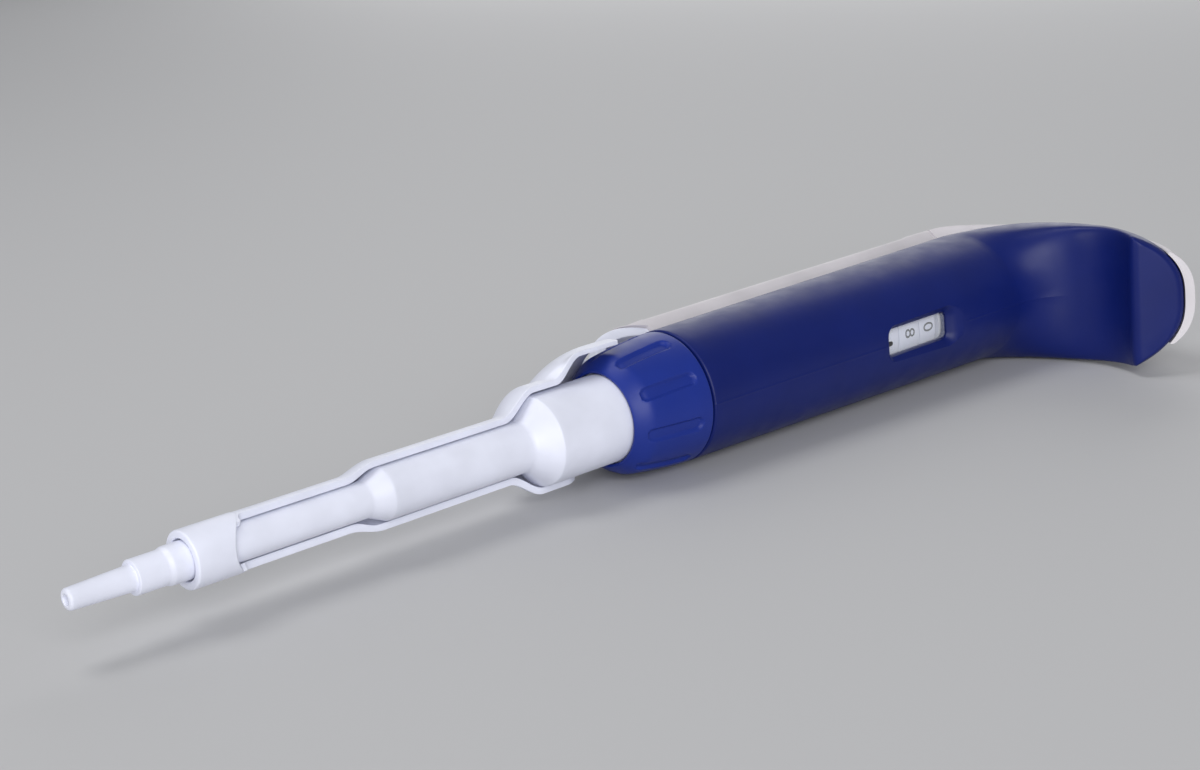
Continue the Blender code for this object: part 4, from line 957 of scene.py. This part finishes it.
def make_back_cover():
    hood_end = Z_SPINE - GAP / 2
    rings = [spine_section(z, True) for z in steps_between(Z_HOOD, hood_end, 24)]
    rings += [spine_section(z, False) for z in steps_between(hood_end + NUDGE, Z_SPINE_TOP, 48)]
    finish(solid("spine_cover", skin(rings, capped=True)), "grey_plastic", "handle", "back_cover")


# Ejector

def arm_swell(z, angle, below_nut, behind):
    """How much of the swell up to the collar is reached at a height, at the edges or behind them."""
    z -= SWELL_LATE * eased(angle / SWELL_LATE_TURN)
    edge_start, back_start = (Z_NUT - drop for drop in below_nut)
    at_edge = eased((z - edge_start) / SWELL_EDGE)
    at_back = 1 - (1 - min(max((z - back_start) / SWELL_BACK, 0), 1)) ** 2
    return blend(at_edge, at_back, behind)


def upper_clear(angle):
    """How much further off the barrel the arm lies on its upper side."""
    return ARM_UPPER_CLEAR * eased(-angle / ARM_UPPER_TURN - ARM_UPPER_FROM)


def arm_inner(z, angle, behind):
    """Inner radius of the half pipe and collar at a height and an angle from the back."""
    middle = MIDDLE_R + ARM_CLEAR
    barrel = BARREL_R + ARM_CLEAR + upper_clear(angle)
    pipe = along(z, list(zip(Z_PIPE_INSIDE, (TUBE_R + ARM_CLEAR, middle, middle, barrel))))
    return pipe + (COLLAR_R - barrel) * arm_swell(z, angle, SWELL_INSIDE, behind)


def arm_outer(z, angle, behind):
    """Outer radius of the half pipe and collar at a height and an angle from the back."""
    middle = MIDDLE_R + ARM_CLEAR + ARM_WALL
    barrel = BARREL_R + ARM_CLEAR + ARM_WALL + upper_clear(angle)
    pipe = along(z, list(zip(Z_PIPE_OUTSIDE, (RING_R - ARM_INSET, middle, middle, barrel))))
    return pipe + (COLLAR_R + COLLAR_WALL - barrel) * arm_swell(z, angle, SWELL_OUTSIDE, behind)


def arm_halves(z):
    """How far round from the back the arm's upper and lower edges lie at a height."""
    up = min(max((z - Z_RING_TOP) / ARM_CORNER_R, 0), 1)
    upper = lower = ARM_LIP - ARM_CORNER_R * (1 - math.sqrt(1 - (1 - up) ** 2))
    tail = min(max((z - Z_TAIL) / TAIL_LENGTH, 0), 1)
    lower += TAIL_DEPTH * (1 - math.sqrt(1 - tail ** 2))
    lower += (ARM_STRIP_X - ARM_LIP - TAIL_DEPTH) * eased((z - Z_TAIL - TAIL_LENGTH) / STRIP_RUN)
    middle = (arm_inner(z, 0.0, 0.0) + arm_outer(z, 0.0, 0.0)) / 2
    ended = min(max((z - Z_COLLAR_END) / COLLAR_END, 0), 1)
    halves = [math.acos(min(max(edge / middle, -1), 1)) for edge in (upper, lower)]
    return [blend(half, math.radians(NOSE_HALF_DEG), ended) for half in halves]


def arm_section(z):
    """The half pipe, the collar beside the nut and the nose, as one section at a height."""
    start = Z_SPINE - GAP - NOSE_LENGTH
    halves = arm_halves(z)

    def behind(angle):
        return eased((halves[0 if angle < 0 else 1] - abs(angle)) / math.radians(SWELL_DEG))

    def outer(angle):
        collar = arm_outer(z, angle, behind(angle))
        return blend(collar, max(nose_radius(z, angle), collar), eased((z - start) / NOSE_START))

    def inner(angle):
        collar = arm_inner(z, angle, behind(angle))
        return blend(collar, max(outer(angle) - NOSE_SKIN, collar), eased((z - start) / NOSE_HOLLOW))

    return shell_section(z, inner, outer, halves, ARM_EDGE_DEPTH)


def ring_outline(turn):
    """The ring round the tube, its upper end scooped at the front."""
    top = Z_RING_TOP + RING_BACK_RISE - RING_SCOOP * max(math.cos(turn), 0) ** 1.5
    corners = [(RING_BORE_R, Z_RING, 0.3), (RING_R, Z_RING, 0.4), (RING_R, top, 0.3),
               (TUBE_R + ARM_CLEAR - 0.05, top, 0.15), (RING_BORE_R, top - 1.2, 0)]
    return soft_outline(corners, spacing=math.inf)


def make_ejector_arm():
    stations = steps_between(Z_RING_TOP - RING_OVERLAP, Z_RING_TOP, 2)
    stations += [Z_RING_TOP + ARM_CORNER_R * (i / 8) ** 2 for i in range(1, 9)]
    stations += steps_between(Z_RING_TOP + ARM_CORNER_R, Z_PIPE_DENSE, 60)[1:]
    stations += steps_between(Z_PIPE_DENSE, Z_TAIL, 48)[1:]
    stations += [Z_TAIL + TAIL_LENGTH * math.sin(turn) for turn in steps_between(0, math.pi / 2, 32)[1:]]
    stations += steps_between(Z_TAIL + TAIL_LENGTH, Z_COLLAR_END, 48)[1:]
    stations += steps_between(Z_COLLAR_END, Z_COLLAR_END + COLLAR_END, 24)[1:]
    stations += steps_between(Z_COLLAR_END + COLLAR_END, Z_SPINE - GAP, 60)[1:]
    sections = [arm_section(z) for z in stations]
    arm = solid("eject_arm", skin(sections, capped=True))
    carve(arm, turned(ring_outline), "UNION")
    finish(arm, "white_plastic", "ejector", "ejector_arm")


def make_ejector_button():
    x = -BAR_FROM_AXIS
    low = Z_EJECT_BUTTON
    high = low + EJECT_BUTTON_HEIGHT
    deep = x - EJECT_BUTTON_DEPTH
    edge = EJECT_BUTTON_ROUND
    outline = [(x, low), (x, high - 0.3)] + arc((x - edge, high - edge), edge, 60, 110, 5)
    outline += arc((deep + 2 * edge, high - 2.2 * edge), 2 * edge, 125, 180, 8) + [(deep + 0.7 * edge, low)]
    half = EJECT_BUTTON_HALF_WIDTH
    sides = [[(px, y, pz) for px, pz in outline] for y in (-half, half)]
    button = solid("eject_button", skin(sides, capped=True))
    edges = button.modifiers.new("edges", "BEVEL")
    edges.width = EJECT_BUTTON_BEVEL * MM
    edges.segments = 5
    edges.limit_method = "ANGLE"
    edges.angle_limit = math.radians(40)
    settle(button)
    finish(button, "grey_plastic", "ejector", "ejector_button")


# Counter

def make_window_lens():
    low = Z_WINDOW + GAP
    high = Z_WINDOW + WINDOW_LENGTH - GAP
    half = WINDOW_HALF_WIDTH - GAP
    radius = WINDOW_CORNER_R - GAP
    edge = LENS_EDGE
    top = LENS_FROM_AXIS + LENS_THICK
    rings = [rounded_box_ring(LENS_FROM_AXIS, half, low, high, radius),
             rounded_box_ring(top - edge, half, low, high, radius),
             rounded_box_ring(top, half - edge, low + edge, high - edge, radius - edge)]
    finish(solid("window_pane", skin(rings, capped=True)), "clear_pane", "handle", "window_lens")


def number_shape(text, turn, z):
    """A printed number wrapped round a counter ring, its top towards the plunger."""
    curve = bpy.data.curves.new("number", "FONT")
    curve.body = text
    curve.size = NUMBER_HEIGHT / NUMBER_SHARE
    curve.align_x = "CENTER"
    curve.align_y = "CENTER"
    curve.offset = NUMBER_WEIGHT
    curve.extrude = INK
    holder = bpy.data.objects.new("number", curve)
    bpy.context.scene.collection.objects.link(holder)
    graph = bpy.context.evaluated_depsgraph_get()
    shape = bmesh.new()
    shape.from_mesh(bpy.data.meshes.new_from_object(holder.evaluated_get(graph)))
    bpy.data.objects.remove(holder)
    for vert in shape.verts:
        angle = turn + vert.co.x / COUNTER_R
        radius = COUNTER_R + vert.co.z
        vert.co = (radius * math.cos(angle), radius * math.sin(angle), z + vert.co.y)
    return shape


def joined(shapes):
    """Several shapes as one."""
    whole = bmesh.new()
    for shape in shapes:
        mesh = bpy.data.meshes.new("joining")
        shape.to_mesh(mesh)
        shape.free()
        whole.from_mesh(mesh)
        bpy.data.meshes.remove(mesh)
    return whole


def make_counter():
    length = RING_PITCH - GAP
    hub = SCREW_R + GAP
    low = Z_COUNTER
    soft = 0.12
    web = low + COUNTER_WEB
    fine = [(hub, low, 0), (COUNTER_R, low, soft), (COUNTER_R, low + length, soft),
            (COUNTER_BORE_R, low + length, 0), (COUNTER_BORE_R, web, 0), (hub, web, 0)]
    finish(solid("fine_wheel", turned(soft_outline(fine))), "white_plastic", "knob", "fine_ring")
    for i, (body, shown) in enumerate((("units", 8), ("tens", 0)), 1):
        start = low + RING_PITCH * i
        end = start + length - (TENS_SHORT if body == "tens" else 0)
        ring = [(COUNTER_BORE_R, start, 0), (COUNTER_R, start, soft), (COUNTER_R, end, soft),
                (COUNTER_BORE_R, end, 0)]
        finish(solid(body + "_wheel", turned(soft_outline(ring))), "white_plastic", body, body + "_ring")
        shapes = []
        for number in range(NUMBER_COUNT):
            turn = math.radians(NUMBER_ROLL_DEG + NUMBER_STEP_DEG * (number - shown))
            shapes.append(number_shape(str(number), turn, (start + end) / 2))
        dress(solid(body + "_numbers", joined(shapes)), LOOKS["dark_ink"], body)
    marks = []
    for number in range(NUMBER_COUNT):
        turn = Matrix.Rotation(math.radians(MARK_START_DEG + NUMBER_STEP_DEG * number), 3, "Z")
        mark = box((COUNTER_R - MARK_ROOT, -MARK_HALF_WIDTH, low + MARK_LOW),
                   (COUNTER_R + INK, MARK_HALF_WIDTH, low + MARK_HIGH))
        bmesh.ops.transform(mark, matrix=turn.to_4x4(), verts=mark.verts)
        marks.append(mark)
    dress(solid("fine_marks", joined(marks)), LOOKS["red_ink"], "knob")


def make_pointer():
    """The pointer printed on the pane at the window's lower end."""
    foot = Z_WINDOW - POINTER_LOW
    outline = [(-POINTER_HALF_WIDTH, foot), (POINTER_HALF_WIDTH, foot)]
    outline += arc((0, Z_WINDOW + POINTER_HIGH), POINTER_ROUND, 0, 180, 8)
    glass = LENS_FROM_AXIS + LENS_THICK
    layers = (glass + NUDGE, glass + POINTER_THICK)
    rings = [[(x, y + POINTER_ASIDE, z) for y, z in outline] for x in layers]
    pointer = solid("window_pointer", skin(rings, capped=True))
    dress(pointer, LOOKS["black_rubber"], "handle", slot="black_rubber")


# Knob and button

def make_knob():
    flute_low = Z_HEAD + COVER_THICK + KNOB_FLUTE_FROM_COVER
    flute_full = flute_low + KNOB_FLUTE_RUN
    rim = Z_KNOB_TOP - KNOB_ROUND

    def outline(turn):
        wave = 0.5 + 0.5 * math.cos(KNOB_FLUTES * turn)
        dip = KNOB_FLUTE_DEPTH * wave ** 3
        well = BUTTON_R + SLIDE_GAP
        bore = ROD_R + SLIDE_GAP
        floor = Z_KNOB + KNOB_FLOOR
        points = [(bore, Z_KNOB), (KNOB_R - KNOB_CHAMFER, Z_KNOB), (KNOB_R, Z_KNOB + KNOB_CHAMFER)]
        points += [(KNOB_R, flute_low)]
        for t in steps_between(0, 1, 4)[1:]:
            points.append((KNOB_R - dip * eased(t), flute_low + KNOB_FLUTE_RUN * t))
        points += [(KNOB_R - dip, z) for z in steps_between(flute_full, rim, 4)[1:]]
        for t in steps_between(0, 90, 5)[1:]:
            out = KNOB_ROUND * math.cos(math.radians(t))
            up = KNOB_ROUND * math.sin(math.radians(t))
            points.append((KNOB_R - dip * (1 - t / 90) - KNOB_ROUND + out, rim + up))
        points += arc((well + KNOB_CHAMFER, Z_KNOB_TOP - KNOB_CHAMFER), KNOB_CHAMFER, 90, 180, 3)
        return points + [(well, floor), (bore, floor)]

    finish(solid("fluted_knob", turned(outline, 8 * KNOB_FLUTES)), "white_plastic", "knob", "volume_knob")


def make_button():
    seat = Z_BUTTON_TOP - CAP_THICK
    rod_top = seat - ROD_BELOW_CAP
    shell = [(ROD_R + GAP, Z_BUTTON, 0), (BUTTON_R, Z_BUTTON, 0.4), (BUTTON_R, Z_BUTTON_TOP, BUTTON_ROUND),
             (CAP_R + GAP, Z_BUTTON_TOP, 0.15), (CAP_R + GAP, seat - GAP, 0), (0, seat - GAP, 0),
             (0, rod_top + GAP, 0), (ROD_R + GAP, rod_top + GAP, 0)]
    finish(solid("thumb_button", turned(soft_outline(shell))), "white_plastic", "plunger", "plunger_button")
    top = Z_BUTTON_TOP + CAP_PROUD
    cap = [(0, seat, 0), (CAP_R, seat, 0), (CAP_R, top, 0.3), (0, top, 0)]
    finish(solid("thumb_cap", turned(soft_outline(cap))), "cream_plastic", "plunger", "button_cap")


# Springs

def on_axis(z, x=0.0):
    """A place in the scene at a height on the pipette's axis, or on a line beside it."""
    return PLACE @ Vector((x, 0, z))


def spring_shape(spring, ends, first, last, x=0.0):
    """The curls from first to last of a coil of wire that stands between two heights."""
    wire, radius, curls = spring
    low, high = ends
    around = [TAU * k / WIRE_STEPS for k in range(WIRE_STEPS)]
    rows = []
    for curl in steps_between(first, last, math.ceil((last - first) * CURL_STEPS)):
        out = Vector((math.cos(TAU * curl), math.sin(TAU * curl), 0))
        middle = out * radius + Vector((x, 0, blend(low + wire, high - wire, curl / curls)))
        rows.append([middle + wire * (out * math.cos(a) + Vector((0, 0, math.sin(a)))) for a in around])
    return skin(rows, capped=True)


def press(coil, ends, x=0.0):
    """Gives a spring a mesh of its own."""
    low, high = ends
    axis = on_axis(high) - on_axis(low)
    on_axis(low, x)
    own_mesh(coil)


def make_piston_spring():
    """The piston spring in two pieces: a foot of its lowest curls, fixed in the scene, and the rest of the coil on
    the stop's body.
    """
    wire, _, curls = PISTON_SPRING
    low, high = Z_PISTON_SPRING
    split = blend(low + wire, high - wire, VOLUME_CURLS / curls)
    shape = spring_shape(PISTON_SPRING, Z_PISTON_SPRING, 0, VOLUME_CURLS - SPRING_SPLIT)
    foot = solid("piston_spring_foot", shape)
    dress(foot, LOOKS["steel"], None, "piston_spring", slot="steel")
    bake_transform(foot)
    coil = solid("piston_spring_coil", spring_shape(PISTON_SPRING, Z_PISTON_SPRING, VOLUME_CURLS, curls))
    finish(coil, "steel", "stop", "piston_spring")
    press(coil, (split, high))


def make_spring(name, node, spring, ends, x=0.0):
    """A whole spring that stands on the handle."""
    coil = solid(name, spring_shape(spring, ends, 0, spring[2], x))
    finish(coil, "steel", "handle", node)
    press(coil, ends, x)


def make_other_springs():
    make_spring("blow_out_coil", "blow_out_spring", BLOW_OUT_SPRING, Z_BLOW_OUT_SPRING)
    make_spring("eject_coil", "ejector_spring", EJECT_SPRING, Z_EJECT_SPRING,
                -BAR_FROM_AXIS - BAR_THICK / 2)


# CAD nodes that stay

def paint_inner_nodes():
    """Finishes the CAD nodes that stay: their slot's material and smooth round faces."""
    slots = {part["node"]: part["material_slot"] for part in frame["record"]["subparts"]}
    for name, node in frame["nodes"].items():
        node.data.materials.clear()
        node.data.materials.append(LOOKS[slots[name]])
        node.data.shade_smooth()
        weld = node.modifiers.new("weld", "WELD")
        weld.merge_threshold = 1e-6
        split = node.modifiers.new("split", "EDGE_SPLIT")
        split.split_angle = math.radians(SHARP_DEG)


bpy.context.scene.view_settings.view_transform = "Standard"
make_camera()
make_stage()
paint_inner_nodes()
make_shaft()
make_coupling_nut()
make_handle()
make_top_cover()
make_back_cover()
make_ejector_arm()
make_ejector_button()
make_window_lens()
make_counter()
make_pointer()
make_knob()
make_button()
make_piston_spring()
make_other_springs()
